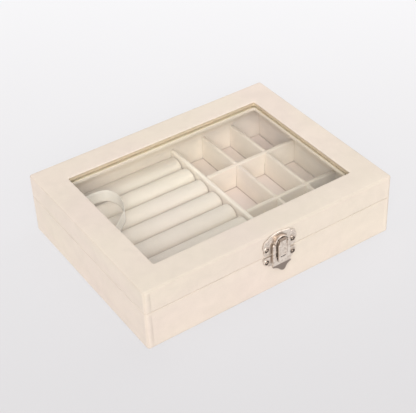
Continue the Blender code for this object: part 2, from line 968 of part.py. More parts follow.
def build_upper_plate():
    points = lobed_outline(
        upper_plate_side_shares, upper_plate_crown_share, 0.0, plate_half_width, upper_plate_height
    )
    plate = add_plate(
        "lid_latch_plate", points, lid_bottom + upper_plate_above_rim, lid_latch_nails, lid_pivot
    )
    hood_z = base_height + hood_centre_above_rim
    inner = hood_radius - hood_wall
    drop = -hood_side_drop
    arch = (
        [(hood_radius, drop)]
        + arc(0, 0, hood_radius, hood_radius, 0, 180, round_steps)
        + [(-hood_radius, drop), (-inner, drop)]
        + arc(0, 0, inner, inner, 180, 0, round_steps)
        + [(inner, drop)]
    )
    depth = hood_depth + plate_thickness / 2
    mesh = stand_up(
        outline_mesh("hood", arch, depth), latch_x, plate_front_y - hood_depth, hood_z, depth
    )
    combine(plate, add_cutter("hood", mesh), "UNION")
    pin_bore = rods_mesh(
        "hood_bore",
        [(latch_x, hasp_axis_y, hasp_axis_z)],
        hasp_pin_radius + pin_clearance,
        2 * (hood_radius + cut_overrun),
        (1, 0, 0),
        small_round_steps,
    )
    combine(plate, add_cutter("hood_bore", pin_bore))
    pin = rods_mesh(
        "hasp_pin", [(0, 0, 0)], hasp_pin_radius, 2 * hasp_pin_half_length, (1, 0, 0), small_round_steps
    )
    place = (latch_x, hasp_axis_y, hasp_axis_z)
    add_piece("hasp_pin", pin, latch_nickel, place, lid_pivot, smooth=True)


def build_lower_plate():
    points = lobed_outline(
        lower_plate_side_shares, 0.0, lower_plate_foot_share, plate_half_width, lower_plate_height
    )
    low_z = base_height - lower_plate_below_rim - lower_plate_height
    plate = add_plate("base_latch_plate", points, low_z, base_latch_nails, None)
    catch_z = base_height - catch_below_rim
    mesh, centre = span_mesh(
        "catch",
        (latch_x - catch_half_width, plate_front_y - catch_depth, catch_z - catch_height / 2),
        (latch_x + catch_half_width, plate_back_y - plate_thickness / 2, catch_z + catch_height / 2),
    )
    combine(plate, add_cutter("catch", mesh, centre), "UNION")


def build_latch_nails():
    for word, places, pivot in (
        ("lid", lid_latch_nails, lid_pivot),
        ("base", base_latch_nails, None),
    ):
        names = [f"{word}_latch_nail_{side}" for side in ("left", "right")]
        add_nails(names, places, -1, plate_front_y, latch_nail_head_radius, latch_nickel, pivot)


# Hasp: a plate with two legs, a raised panel that curls round the pin, and a flared lip


def hasp_plate_outline():
    leg_half = hasp_leg_width / 2
    leg_middle = hasp_half_width - leg_half
    leg_arc_z = hasp_fold_below_pin - hasp_leg_top_below_pin - leg_half
    gap_half = hasp_half_width - hasp_leg_width
    gap_arc_z = hasp_gap_bottom_above_fold + hasp_gap_round
    return (
        [(-hasp_half_width, 0), (hasp_half_width, 0)]
        + arc(leg_middle, leg_arc_z, leg_half, leg_half, 0, 180)
        + arc(0, gap_arc_z, gap_half, hasp_gap_round, 0, -180, 2 * arc_steps)
        + arc(-leg_middle, leg_arc_z, leg_half, leg_half, 0, 180)
    )


def panel_outline(half_wide, tongue_half, bottom, shoulder, top):
    """A tongue with a round foot, narrowing above its shoulders."""
    foot_z = bottom + panel_round
    return arc(0, foot_z, half_wide, panel_round, -180, 0, 2 * arc_steps) + [
        (half_wide, shoulder),
        (tongue_half, shoulder + half_wide - tongue_half),
        (tongue_half, top),
        (-tongue_half, top),
        (-tongue_half, shoulder + half_wide - tongue_half),
        (-half_wide, shoulder),
    ]


def standing_cutter(name, points, front_y, thickness):
    mesh = stand_up(outline_mesh(name, points, thickness), latch_x, front_y, hasp_fold_z, thickness)
    return add_cutter(name, mesh)


def build_hasp():
    mesh = stand_up(
        outline_mesh("hasp", hasp_plate_outline(), hasp_thickness),
        latch_x,
        hasp_front_y,
        hasp_fold_z,
        hasp_thickness,
    )
    hasp = add_piece("latch_hasp", mesh, latch_nickel, pivot=hasp_pivot)

    boss_depth = hasp_back_y - hasp_thickness / 2 - panel_front_y - hasp_thickness / 2
    boss = arc(
        0, boss_bottom_above_fold + panel_round, boss_half_width, panel_round, -180, 0, 2 * arc_steps
    )
    boss_top = boss_bottom_above_fold + boss_height
    boss += [(boss_half_width, boss_top), (-boss_half_width, boss_top)]
    boss_front = panel_front_y + hasp_thickness / 2
    combine(hasp, standing_cutter("hasp_boss", boss, boss_front, boss_depth), "UNION")

    panel = panel_outline(
        panel_half_width,
        curl_half_length,
        panel_bottom_above_fold,
        hasp_fold_below_pin - panel_shoulder_below_pin - panel_half_width + curl_half_length,
        hasp_fold_below_pin,
    )
    combine(hasp, standing_cutter("hasp_panel", panel, panel_front_y, hasp_thickness), "UNION")

    pin_place = [(latch_x, hasp_axis_y, hasp_axis_z)]
    curl = rods_mesh(
        "hasp_curl", pin_place, curl_radius, 2 * curl_half_length - clearance, (1, 0, 0), 2 * round_steps
    )
    combine(hasp, add_cutter("hasp_curl", curl), "UNION")
    bore = rods_mesh(
        "hasp_bore",
        pin_place,
        hasp_pin_radius + pin_clearance,
        2 * (curl_half_length + cut_overrun),
        (1, 0, 0),
        small_round_steps,
    )
    combine(hasp, add_cutter("hasp_bore", bore))

    lip = lobed_outline(lip_side_shares, 0.0, lip_tip_share, lip_half_width, lip_drop)
    mesh = outline_mesh("hasp_lip", lip, hasp_thickness)
    mesh.transform(Matrix.Translation((0, lip_root_overlap - lip_drop, 0)))
    mesh.transform(Matrix.Rotation(math.radians(90 - lip_flare_degrees), 4, "X"))
    fold_y = hasp_front_y + hasp_thickness / 2
    mesh.transform(Matrix.Translation((latch_x, fold_y, hasp_fold_z)))
    combine(hasp, add_cutter("hasp_lip", mesh), "UNION")

    recess_top = hasp_fold_below_pin - panel_shoulder_below_pin
    recess_half_y = (hasp_back_y - panel_front_y) / 2
    recess_mesh, centre = span_mesh(
        "hasp_recess",
        (
            latch_x - recess_half_width,
            panel_front_y - recess_half_y,
            hasp_fold_z + recess_bottom_above_fold,
        ),
        (latch_x + recess_half_width, panel_front_y + recess_depth, hasp_fold_z + recess_top),
    )
    combine(hasp, add_cutter("hasp_recess", recess_mesh, centre))
    slot_mesh, centre = span_mesh(
        "hasp_slot",
        (latch_x - slot_half_length, panel_front_y - recess_half_y, hasp_fold_z + slot_above_fold),
        (
            latch_x + slot_half_length,
            panel_back_y + recess_half_y,
            hasp_fold_z + slot_above_fold + slot_height,
        ),
    )
    combine(hasp, add_cutter("hasp_slot", slot_mesh, centre))


build_base_covering()
build_base_boards()
build_floor_pad()
build_ring_rolls()
build_dividers()
build_ribbon()
build_lid_covering()
build_lid_boards()
build_window()
build_hinges()
build_hinge_nails()
build_upper_plate()
build_lower_plate()
build_latch_nails()
build_hasp()
print("inner half size", round(inner_x, 5), round(inner_y, 5))
print("hinge axis", round(hinge_axis_y, 5), round(hinge_axis_z, 5))
print("hasp axis", round(hasp_axis_y, 5), round(hasp_axis_z, 5))
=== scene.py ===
import json
import math

import bmesh
import bpy
from mathutils import Matrix, Vector, noise


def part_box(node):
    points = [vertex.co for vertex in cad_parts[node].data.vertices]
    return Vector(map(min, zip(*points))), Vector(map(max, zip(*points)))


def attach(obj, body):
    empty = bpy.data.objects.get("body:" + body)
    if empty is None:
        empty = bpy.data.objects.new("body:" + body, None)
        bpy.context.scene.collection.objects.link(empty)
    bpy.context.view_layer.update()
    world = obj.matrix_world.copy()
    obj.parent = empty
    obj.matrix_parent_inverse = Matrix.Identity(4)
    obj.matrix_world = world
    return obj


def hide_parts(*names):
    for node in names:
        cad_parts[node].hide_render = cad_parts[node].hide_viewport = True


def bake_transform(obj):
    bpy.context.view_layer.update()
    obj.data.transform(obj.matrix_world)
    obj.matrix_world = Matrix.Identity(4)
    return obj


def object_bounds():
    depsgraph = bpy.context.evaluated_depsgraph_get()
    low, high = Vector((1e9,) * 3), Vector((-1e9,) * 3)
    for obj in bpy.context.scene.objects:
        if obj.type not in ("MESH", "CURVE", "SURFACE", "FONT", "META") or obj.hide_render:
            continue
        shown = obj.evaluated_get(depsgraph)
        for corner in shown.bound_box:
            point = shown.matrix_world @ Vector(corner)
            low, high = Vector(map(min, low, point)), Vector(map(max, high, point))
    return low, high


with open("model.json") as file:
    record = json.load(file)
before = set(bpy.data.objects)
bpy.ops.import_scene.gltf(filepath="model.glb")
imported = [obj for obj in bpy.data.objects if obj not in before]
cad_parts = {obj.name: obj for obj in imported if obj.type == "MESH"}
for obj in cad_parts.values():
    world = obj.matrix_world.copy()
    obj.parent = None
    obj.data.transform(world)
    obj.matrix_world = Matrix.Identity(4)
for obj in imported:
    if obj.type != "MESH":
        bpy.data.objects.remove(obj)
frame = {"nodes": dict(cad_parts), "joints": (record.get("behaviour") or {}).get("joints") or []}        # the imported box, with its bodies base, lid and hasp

scene = bpy.context.scene
scene.view_settings.view_transform = "Standard"
mm = 0.001
cadLow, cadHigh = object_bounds()
jointPlace = {joint["name"]: Vector(joint["pos_m"]) for joint in frame["joints"]}
hingeAxis = jointPlace["lid_hinge"]
haspAxis = jointPlace["hasp_swing"]
touch = 0.05 * mm        # places nearer than this count as the same
weld = 0.002 * mm        # points nearer than this are made one
slightRise = 0.5 * mm    # an edge that rises less than this counts as level

# The camera: a long lens over the front left corner, with a slight tilt
cameraView = {
    "azimuth": -32.533,
    "elevation": 38.356,
    "roll": -2.699,
    "distance": 797.4 * mm,
    "target": Vector((-0.62, 1.30, 20.0)) * mm,
    "lens": 97.584,
}


def addObject(name, data):
    made = bpy.data.objects.new(name, data)
    scene.collection.objects.link(made)
    return made


def addCamera(view):
    azimuth = math.radians(view["azimuth"])
    elevation = math.radians(view["elevation"])
    level = math.cos(elevation)
    back = Vector((math.sin(azimuth) * level, -math.cos(azimuth) * level, math.sin(elevation)))
    camera = addObject("camera", bpy.data.cameras.new("camera"))
    camera.data.lens = view["lens"]
    camera.location = view["target"] + back * view["distance"]
    turn = (-back).to_track_quat("-Z", "Y").to_matrix()
    camera.rotation_euler = (turn @ Matrix.Rotation(math.radians(view["roll"]), 3, "Z")).to_euler()
    scene.camera = camera


addCamera(cameraView)
print("camera placed")


# Materials: small builders for node trees, then one function for each finish


def addNode(tree, kind, sockets=None, **options):
    made = tree.nodes.new("ShaderNode" + kind)
    for name, value in options.items():
        setattr(made, name, value)
    for name, value in (sockets or {}).items():
        if isinstance(value, bpy.types.NodeSocket):
            tree.links.new(value, made.inputs[name])
        else:
            made.inputs[name].default_value = value
    return made


def calc(tree, kind, *values):
    return addNode(tree, "Math", dict(enumerate(values)), operation=kind).outputs[0]


def startMaterial(name, plain):
    material = bpy.data.materials.new(name)
    material.use_nodes = True
    tree = material.node_tree
    shader = tree.nodes["Principled BSDF"]
    for socket, value in plain.items():
        shader.inputs[socket].default_value = value
    place = addNode(tree, "TexCoord").outputs["Object"]
    return material, tree, shader, place


def linkFinish(tree, shader, tone, normal):
    tree.links.new(tone, shader.inputs["Base Color"])
    tree.links.new(normal, shader.inputs["Normal"])


def addNoise(tree, place, size, detail=2.0, stretch=(1.0, 1.0, 1.0), distortion=0.0):
    scale = tuple(1.0 / (size * share) for share in stretch)
    scaled = addNode(tree, "Mapping", {"Vector": place, "Scale": scale}).outputs[0]
    sockets = {"Vector": scaled, "Scale": 1.0, "Detail": detail, "Distortion": distortion}
    return addNode(tree, "TexNoise", sockets).outputs["Fac"]


def spread(tree, value, low, high, toLow=0.0, toHigh=1.0):
    sockets = {"Value": value, "From Min": low, "From Max": high, "To Min": toLow, "To Max": toHigh}
    return addNode(tree, "MapRange", sockets).outputs[0]


def fade(tree, value, start, end, most=1.0):
    return spread(tree, value, start, end, most, 0.0)


def mixColours(tree, factor, first, second, kind="MIX"):
    made = addNode(tree, "Mix", data_type="RGBA", blend_type=kind)
    for number, value in ((0, factor), (6, first), (7, second)):
        if isinstance(value, bpy.types.NodeSocket):
            tree.links.new(value, made.inputs[number])
        else:
            made.inputs[number].default_value = value
    return made.outputs[2]


def toneBy(tree, value, reach, first, second, most=1.0):
    # from the first tone to the second as a value crosses its range
    return mixColours(tree, spread(tree, value, *reach, 0.0, most), first, second)


def addBump(tree, height, distance, strength, before=None):
    sockets = {"Height": height, "Distance": distance, "Strength": strength}
    if before is not None:
        sockets["Normal"] = before
    return addNode(tree, "Bump", sockets).outputs["Normal"]


velvetLook = {
    "pile": 0.45 * mm,
    "pileRange": (0.3, 0.7),
    "pileTones": ((0.955, 0.95, 0.945, 1.0), (1.0, 1.0, 1.0, 1.0)),
    "pileBump": (0.10 * mm, 0.5),
    "nap": 9.0 * mm,
    "napBump": (0.30 * mm, 0.25),
    "stroke": 26.0 * mm,
    "strokeStretch": (2.6, 1.3, 0.7),
    "layRange": (0.75, 1.25),
    "paler": 1.02,
    "deeper": 0.965,
    "warmth": 60.0 * mm,
    "warmthRange": (0.35, 0.65),
    "warmthTones": ((1.0, 0.985, 0.985, 1.0), (0.99, 1.0, 0.965, 1.0)),
    "shadeTone": (0.58, 0.50, 0.43, 1.0),
    "sockets": {
        "Roughness": 0.88,
        "Specular IOR Level": 0.15,
        "Sheen Weight": 0.22,
        "Sheen Roughness": 0.45,
        "Sheen Tint": (1.0, 0.96, 0.92, 1.0),
    },
}


def makeVelvet(name, colour, look):
    pale = (*(min(1.0, value * look["paler"]) for value in colour), 1.0)
    deep = (*(value * look["deeper"] for value in colour), 1.0)
    material, tree, shader, place = startMaterial(name, look["sockets"])
    pile = addNoise(tree, place, look["pile"], 3.0)
    nap = addNoise(tree, place, look["nap"], 3.0, distortion=0.6)
    stroke = addNoise(tree, place, look["stroke"], 2.0, look["strokeStretch"], 0.8)
    warmth = addNoise(tree, place, look["warmth"], 1.0)
    lay = calc(tree, "ADD", nap, stroke)
    tone = toneBy(tree, lay, look["layRange"], deep, pale)
    grain = toneBy(tree, pile, look["pileRange"], *look["pileTones"])
    tinted = toneBy(tree, warmth, look["warmthRange"], *look["warmthTones"])
    tone = mixColours(tree, 1.0, tone, grain, "MULTIPLY")
    tone = mixColours(tree, 1.0, tone, tinted, "MULTIPLY")
    # painted shade: a piece's own "shade" layer darkens its creases, grooves and gaps, and dulls its
    # edges and tops where the light catches them
    shade = addNode(tree, "Attribute", attribute_name="shade").outputs["Fac"]
    shaded = mixColours(tree, 1.0, tone, look["shadeTone"], "MULTIPLY")
    soft = addBump(tree, lay, *look["napBump"])
    normal = addBump(tree, pile, *look["pileBump"], soft)
    linkFinish(tree, shader, mixColours(tree, shade, tone, shaded), normal)
    return material


feltLook = {
    "fibre": 0.6 * mm,
    "fibreStretch": (2.0, 1.0, 1.0),
    "fibreRange": (0.3, 0.7),
    "fibreBump": (0.2 * mm, 0.6),
    "deep": (0.56, 0.48, 0.40, 1.0),
    "pale": (0.68, 0.60, 0.51, 1.0),
    "cloud": 8.0 * mm,
    "cloudRange": (0.3, 0.8),
    "cloudTone": (0.50, 0.43, 0.36, 1.0),
    "cloudMost": 0.25,
    "sockets": {"Roughness": 0.95, "Specular IOR Level": 0.1, "Sheen Weight": 0.1},
}


def makeFelt(name, look):
    material, tree, shader, place = startMaterial(name, look["sockets"])
    fibres = addNoise(tree, place, look["fibre"], 4.0, look["fibreStretch"], 2.0)
    clouds = addNoise(tree, place, look["cloud"])
    tone = toneBy(tree, fibres, look["fibreRange"], look["deep"], look["pale"])
    tone = toneBy(tree, clouds, look["cloudRange"], tone, look["cloudTone"], look["cloudMost"])
    linkFinish(tree, shader, tone, addBump(tree, fibres, *look["fibreBump"]))
    return material


boardLook = {
    "fibre": 1.6 * mm,
    "fibreStretch": (3.0, 3.0, 0.3),
    "fibreRange": (0.3, 0.7),
    "fibreBump": (0.15 * mm, 0.5),
    "stain": 22.0 * mm,
    "stainRange": (0.45, 0.7),
    "stainMost": 0.5,
    "glue": (0.36, 0.25, 0.16, 1.0),
    "glueTop": 47.10 * mm,
    "glueDepth": 0.40 * mm,
    "glueMost": 0.8,
    "sockets": {"Roughness": 0.85, "Specular IOR Level": 0.2},
}
# each board's deep, pale and stained tone
boardTones = {
    "raw": ((0.50, 0.40, 0.265, 1.0), (0.62, 0.53, 0.39, 1.0), (0.60, 0.46, 0.325, 1.0)),
    # painted light: the seat tone is far lighter than the raw board's, against the shade in the
    # pocket round the glass
    "seat": ((0.97, 0.80, 0.58, 1.0), (1.0, 0.90, 0.71, 1.0), (1.0, 0.81, 0.61, 1.0)),
}


def makeBoard(name, tones, look):
    deep, pale, stained = tones
    material, tree, shader, place = startMaterial(name, look["sockets"])
    fibres = addNoise(tree, place, look["fibre"], 5.0, look["fibreStretch"], 0.5)
    stains = addNoise(tree, place, look["stain"], 2.0)
    tone = toneBy(tree, fibres, look["fibreRange"], deep, pale)
    tone = toneBy(tree, stains, look["stainRange"], tone, stained, look["stainMost"])
    # darker along a band at the top of the board's cut edge, just under the velvet
    height = addNode(tree, "SeparateXYZ", {"Vector": place}).outputs["Z"]
    darkBandSpan = look["glueTop"] - look["glueDepth"], look["glueTop"]
    tone = toneBy(tree, height, darkBandSpan, tone, look["glue"], look["glueMost"])
    linkFinish(tree, shader, tone, addBump(tree, fibres, *look["fibreBump"]))
    return material


satinLook = {
    "thread": 0.20 * mm,
    "threadStretch": (14.0, 1.0, 1.0),
    "threadRange": (0.25, 0.75),
    "threadBump": (0.03 * mm, 0.5),
    "deep": (0.95, 0.895, 0.80, 1.0),
    "pale": (1.0, 0.965, 0.90, 1.0),
    "weft": 0.6 * mm,
    "weftBump": (0.02 * mm, 0.3),
    "half": 5.0 * mm,
    "edgeRange": (4.2 * mm, 4.5 * mm),
    "edge": (0.93, 0.86, 0.76, 1.0),
    "sockets": {
        "Roughness": 0.38,
        "Specular IOR Level": 0.5,
        "Sheen Weight": 0.3,
        "Sheen Roughness": 0.3,
        "Anisotropic": 0.5,
    },
}


def makeSatin(name, look):
    material, tree, shader, _ = startMaterial(name, look["sockets"])
    ribbonMap = addNode(tree, "UVMap", uv_map="ribbon").outputs["UV"]
    threads = addNoise(tree, ribbonMap, look["thread"], 1.0, look["threadStretch"])
    sockets = {"Vector": ribbonMap, "Scale": 0.5 / look["weft"], "Distortion": 0.4}
    weft = addNode(tree, "TexWave", sockets).outputs["Fac"]
    across = addNode(tree, "SeparateXYZ", {"Vector": ribbonMap}).outputs["Y"]
    off = calc(tree, "ABSOLUTE", calc(tree, "SUBTRACT", across, look["half"]))
    tone = toneBy(tree, threads, look["threadRange"], look["deep"], look["pale"])
    tone = toneBy(tree, off, look["edgeRange"], tone, look["edge"])
    fine = addBump(tree, weft, *look["weftBump"])
    linkFinish(tree, shader, tone, addBump(tree, threads, *look["threadBump"], fine))
    return material


glassLook = {
    "clear": (0.985, 0.99, 0.985, 1.0),
    "shine": (1.0, 1.0, 1.0, 1.0),
    "roughness": 0.02,
    "steepness": 5.0,
    "shares": (0.05, 0.9),
}


def makeGlass(name, look):
    material = bpy.data.materials.new(name)
    material.use_nodes = True
    tree = material.node_tree
    tree.nodes.remove(tree.nodes["Principled BSDF"])
    clear = addNode(tree, "BsdfTransparent", {"Color": look["clear"]})
    shine = addNode(tree, "BsdfGlossy", {"Color": look["shine"], "Roughness": look["roughness"]})
    # both faces of the pane shine alike, more at a slant
    slant = addNode(tree, "LayerWeight", {"Blend": 0.5}).outputs["Facing"]
    share = spread(tree, calc(tree, "POWER", slant, look["steepness"]), 0.0, 1.0, *look["shares"])
    pane = addNode(tree, "MixShader", {0: share, 1: clear.outputs[0], 2: shine.outputs[0]})
    tree.links.new(pane.outputs[0], tree.nodes["Material Output"].inputs["Surface"])
    return material


metalLook = {
    "wear": 2.6 * mm,
    "wearRange": (0.42, 0.72),
    "roughRange": (0.3, 0.75),
    "speck": 0.5 * mm,
    "speckRange": (0.62, 0.80),
    "speckMost": 0.5,
    "scratch": 0.35 * mm,
    "scratchStretch": (1.0, 1.0, 9.0),
    "scratchBump": (0.01 * mm, 0.35),
    "openRange": (0.35, 0.85),
}
latchLook = metalLook | {
    "bright": (0.90, 0.81, 0.72, 1.0),
    "dull": (0.60, 0.51, 0.43, 1.0),
    "dark": (0.055, 0.035, 0.025, 1.0),
    "hollow": 1.5 * mm,
    "roughness": (0.32, 0.52),
}
hingeLook = metalLook | {
    "bright": (0.78, 0.75, 0.71, 1.0),
    "dull": (0.60, 0.56, 0.51, 1.0),
    "dark": (0.10, 0.08, 0.07, 1.0),
    "hollow": 0.6 * mm,
    "roughness": (0.20, 0.38),
}
# painted shade round the latch's nails, on its lip and over its hood
latchShadeLook = {
    "black": (0.018, 0.010, 0.006, 1.0),
    "ring": 1.32 * mm,
    "ringHalf": 0.42 * mm,
    "comma": (0.38 * mm, 0.0, -0.42 * mm),
    "commaRadius": 0.62 * mm,
    "commaMost": 0.9,
    "head": (0.42, 0.34, 0.28, 1.0),
    "headRadius": 1.0 * mm,
    "headMost": 0.8,
    "dullReach": 2.6 * mm,
    "dullFade": 0.4 * mm,
    "dullness": 0.66,
    "lip": (0.33, 0.275, 0.235, 1.0),
    "lipFront": 0.6 * mm,
    "foldBelowPin": 20.0 * mm,
    "brown": (0.30, 0.215, 0.16, 1.0),
    "brownMost": 0.8,
    "rimDepth": 0.45 * mm,
    "rimReach": 3.2 * mm,
    "plateThickness": 0.8 * mm,
    "fade": 0.1 * mm,
}
latchNails = [
    sum(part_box(f"{body}_latch_nail_{side}"), Vector()) / 2
    for body in ("lid", "base")
    for side in ("left", "right")
]


def frontDistance(tree, place, spot):
    # how far a place lies from a spot, seen from the front
    flat = addNode(tree, "VectorMath", {0: place, 1: (1.0, 0.0, 1.0)}, operation="MULTIPLY")
    sockets = {0: flat.outputs[0], 1: spot}
    return addNode(tree, "VectorMath", sockets, operation="DISTANCE").outputs["Value"]


def nearestNail(tree, place, shift=(0.0, 0.0, 0.0)):
    nearest = 1.0
    for nail in latchNails:
        away = frontDistance(tree, place, (nail.x + shift[0], 0.0, nail.z + shift[2]))
        nearest = calc(tree, "MINIMUM", away, nearest)
    return nearest


def addLatchShade(tree, place, tone, rough, plain, look):
    # painted shade on the latch: duller metal, black rings and darker heads round the nails, a dark
    # lip and a brown hood
    near = nearestNail(tree, place)
    reach = look["dullReach"]
    # painted shade: round the nails the metal is painted in its dull tone and made rougher, to hold
    # down the glint there
    dull = fade(tree, near, reach - look["dullFade"], reach, look["dullness"])
    tone = mixColours(tree, dull, tone, plain)
    # painted shade: a black ring in the groove round each nail, with a comma that makes it thicker on
    # its lower right
    off = calc(tree, "ABSOLUTE", calc(tree, "SUBTRACT", near, look["ring"]))
    ring = fade(tree, off, look["ringHalf"] * 0.5, look["ringHalf"])
    comma = nearestNail(tree, place, look["comma"])
    comma = fade(tree, comma, look["commaRadius"] * 0.6, look["commaRadius"], look["commaMost"])
    apart = addNode(tree, "SeparateXYZ", {"Vector": place}).outputs
    # painted shade on the lip below the fold, which faces down
    fold = haspAxis.z - look["foldBelowPin"]
    under = fade(tree, apart["Z"], fold - look["fade"], fold + 1.5 * look["fade"])
    lipBack = haspAxis.y + look["lipFront"]
    ahead = fade(tree, apart["Y"], lipBack, lipBack + look["fade"])
    tone = mixColours(tree, calc(tree, "MULTIPLY", under, ahead), tone, look["lip"])
    # painted shade on the nail heads
    head = fade(tree, near, look["headRadius"] * 0.9, look["headRadius"], look["headMost"])
    tone = mixColours(tree, head, tone, look["head"])
    tone = mixColours(tree, hoodShade(tree, place, apart, look), tone, look["brown"])
    tone = mixColours(tree, calc(tree, "MAXIMUM", ring, comma), tone, look["black"])
    return tone, calc(tree, "MAXIMUM", rough, dull)


def hoodShade(tree, place, apart, look):
    # painted shade: the hood, but for its front rim, and the curl under it are painted brown
    hoodFront, plateBack = (corner.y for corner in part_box("lid_latch_plate"))
    soft = look["fade"]
    away = frontDistance(tree, place, (haspAxis.x, 0.0, haspAxis.z))
    wide = spread(tree, away, look["rimReach"] - 2 * soft, look["rimReach"])
    rimBack = hoodFront + look["rimDepth"]
    front = fade(tree, apart["Y"], rimBack - soft, rimBack)
    rest = fade(tree, calc(tree, "MULTIPLY", wide, front), 0.0, 1.0, look["brownMost"])
    above = spread(tree, apart["Z"], haspAxis.z - 2 * soft, haspAxis.z + 4 * soft)
    plateFront = plateBack - look["plateThickness"]
    ahead = fade(tree, apart["Y"], plateFront - 5 * soft, plateFront - 3 * soft)
    return calc(tree, "MULTIPLY", calc(tree, "MULTIPLY", above, ahead), rest)


def makeNickel(name, look, latchShade=None):
    material, tree, shader, place = startMaterial(name, {"Metallic": 1.0})
    wear = addNoise(tree, place, look["wear"], 4.0, distortion=1.0)
    specks = addNoise(tree, place, look["speck"], 3.0)
    scratches = addNoise(tree, place, look["scratch"], 2.0, look["scratchStretch"])
    tone = toneBy(tree, wear, look["wearRange"], look["bright"], look["dull"])
    tone = toneBy(tree, specks, look["speckRange"], tone, look["dull"], look["speckMost"])
    # partly painted shade: an occlusion node paints the hollows dark, standing in for the patina in
    # them and for the shade that falls there
    openness = addNode(tree, "AmbientOcclusion", {"Distance": look["hollow"]}, samples=8)
    tone = toneBy(tree, openness.outputs["AO"], look["openRange"], look["dark"], tone)
    rough = spread(tree, wear, *look["roughRange"], *look["roughness"])
    if latchShade:
        tone, rough = addLatchShade(tree, place, tone, rough, look["dull"], latchShade)
    tree.links.new(rough, shader.inputs["Roughness"])
    linkFinish(tree, shader, tone, addBump(tree, scratches, *look["scratchBump"]))
    return material


# Finishes: a material, and the record's slot that it belongs to
# painted light: the copies of the one cream velvet inside the box, on its floor and on the rolls are
# painted lighter than the outside copy, to make up for the light that the lid's frame keeps out
velvetTones = {
    "outside": (0.735, 0.650, 0.574),
    "inside": (0.925, 0.835, 0.745),
    "floor": (0.832, 0.724, 0.668),
    "rolls": (0.815, 0.735, 0.650),
}
outerVelvet, innerVelvet, floorVelvet, rollVelvet = (
    (makeVelvet(f"cream velvet {where}", tone, velvetLook), slot)
    for (where, tone), slot in zip(
        velvetTones.items(), ("outer_velvet", "inner_velvet", "inner_velvet", "roll_velvet")
    )
)
felt = makeFelt("felt under the box", feltLook), "felt"
board = makeBoard("raw pressed board", boardTones["raw"], boardLook)
seatBoard = makeBoard("pale board round the glass", boardTones["seat"], boardLook)
satin = makeSatin("white satin", satinLook), "satin"
glass = makeGlass("window glass", glassLook)
latchNickel = makeNickel("antique nickel", latchLook, latchShadeLook), "latch_nickel"
hingeNickel = makeNickel("plain nickel", hingeLook), "hinge_nickel"
print("materials made")


# Shaping helpers


def blockMesh(low, high):
    bm = bmesh.new()
    bmesh.ops.create_cube(bm, size=1.0)
    bmesh.ops.scale(bm, vec=high - low, verts=bm.verts)
    bmesh.ops.translate(bm, vec=(low + high) / 2, verts=bm.verts)
    return bm


def facesToward(bm, direction):
    bm.normal_update()
    return [face for face in bm.faces if face.normal.dot(Vector(direction)) > 0.9]


def vertsOf(geom):
    return [item for item in geom if isinstance(item, bmesh.types.BMVert)]


def heightOf(edge):
    return abs(edge.verts[0].co.z - edge.verts[1].co.z)


def rimEdges(bm, direction, test=None):
    # the edges between faces that look one way and faces square to them
    bm.normal_update()
    way = Vector(direction)
    found = []
    for edge in bm.edges:
        if len(edge.link_faces) == 2:
            turns = sorted(face.normal.dot(way) for face in edge.link_faces)
            if turns[1] > 0.9 and abs(turns[0]) < 0.3:
                if test is None or test((edge.verts[0].co + edge.verts[1].co) / 2):
                    found.append(edge)
    return found


def roundOff(bm, edges, radius, segments):
    bmesh.ops.bevel(
        bm,
        geom=edges,
        offset=radius,
        segments=segments,
        affect="EDGES",
        profile=0.5,
        material=-1,
        clamp_overlap=True,
    )


def inset(bm, faces, thickness, depth=0.0):
    bmesh.ops.inset_region(bm, faces=faces, thickness=thickness, depth=depth, use_even_offset=True)


def cutAt(bm, axis, place):
    normal = Vector((0, 0, 0))
    normal[axis] = 1.0
    bmesh.ops.bisect_plane(
        bm,
        geom=bm.verts[:] + bm.edges[:] + bm.faces[:],
        dist=weld,
        plane_co=normal * place,
        plane_no=normal,
    )


def cutEvery(bm, spacing, axes=(0, 1, 2)):
    for axis in axes:
        places = [vert.co[axis] for vert in bm.verts]
        low, high = min(places), max(places)
        count = max(1, round((high - low) / spacing))
        for number in range(1, count):
            cutAt(bm, axis, low + (high - low) * number / count)


def wobble(bm, amount, patch, seed):
    # a slow unevenness, as cloth over board has
    shift = Vector((seed * 3.1, seed * 1.7, seed * 0.9))
    bm.normal_update()
    for vert in bm.verts:
        vert.co += vert.normal * amount * noise.noise(vert.co / patch + shift)


def meshObject(name, bm):
    mesh = bpy.data.meshes.new(name)
    bm.to_mesh(mesh)
    bm.free()
    return addObject(name, mesh)


def addPiece(name, bm, finish, body, stands, sharp=None):
    material, slot = finish
    piece = meshObject(name, bm)
    piece.data.materials.append(material)
    piece.data.shade_smooth()
    if sharp:
        piece.data.set_sharp_from_angle(angle=math.radians(sharp))
    if body:
        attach(piece, body)
    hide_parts(stands)
    return piece


def thicken(piece, thickness, offset=-1.0):
    skin = piece.modifiers.new("cloth thickness", "SOLIDIFY")
    skin.thickness = thickness
    skin.offset = offset


# Coverings: velvet drawn over the boards, turned in at the rims and lapped at each corner
coverShape = {
    "thickness": 0.55 * mm,
    "cornerRadius": 2.0 * mm,
    "topRadius": 1.5 * mm,
    "rimRadius": 0.45 * mm,
    "lipRadius": 0.5 * mm,
    "lipOverhang": 0.18 * mm,
    "lipTurn": 0.9 * mm,
    "windowCorner": 1.1 * mm,
    "windowInset": 20.0 * mm,
    "rimCrown": 0.07 * mm,
    "edgeShade": 0.24,
    "edgeSlope": 0.25,
    "topCrown": 0.10 * mm,
    "crownReach": 0.02 * mm,
    "hem": 3.2 * mm,
    "lapWidth": 4.2 * mm,
    "lapEase": 0.2 * mm,
    "lapFoot": 1.0 * mm,
    "lapHead": 1.4 * mm,
    "lapStep": 0.12 * mm,
    "cell": 2.6 * mm,
    "wobble": 0.06 * mm,
    "patch": 24.0 * mm,
}


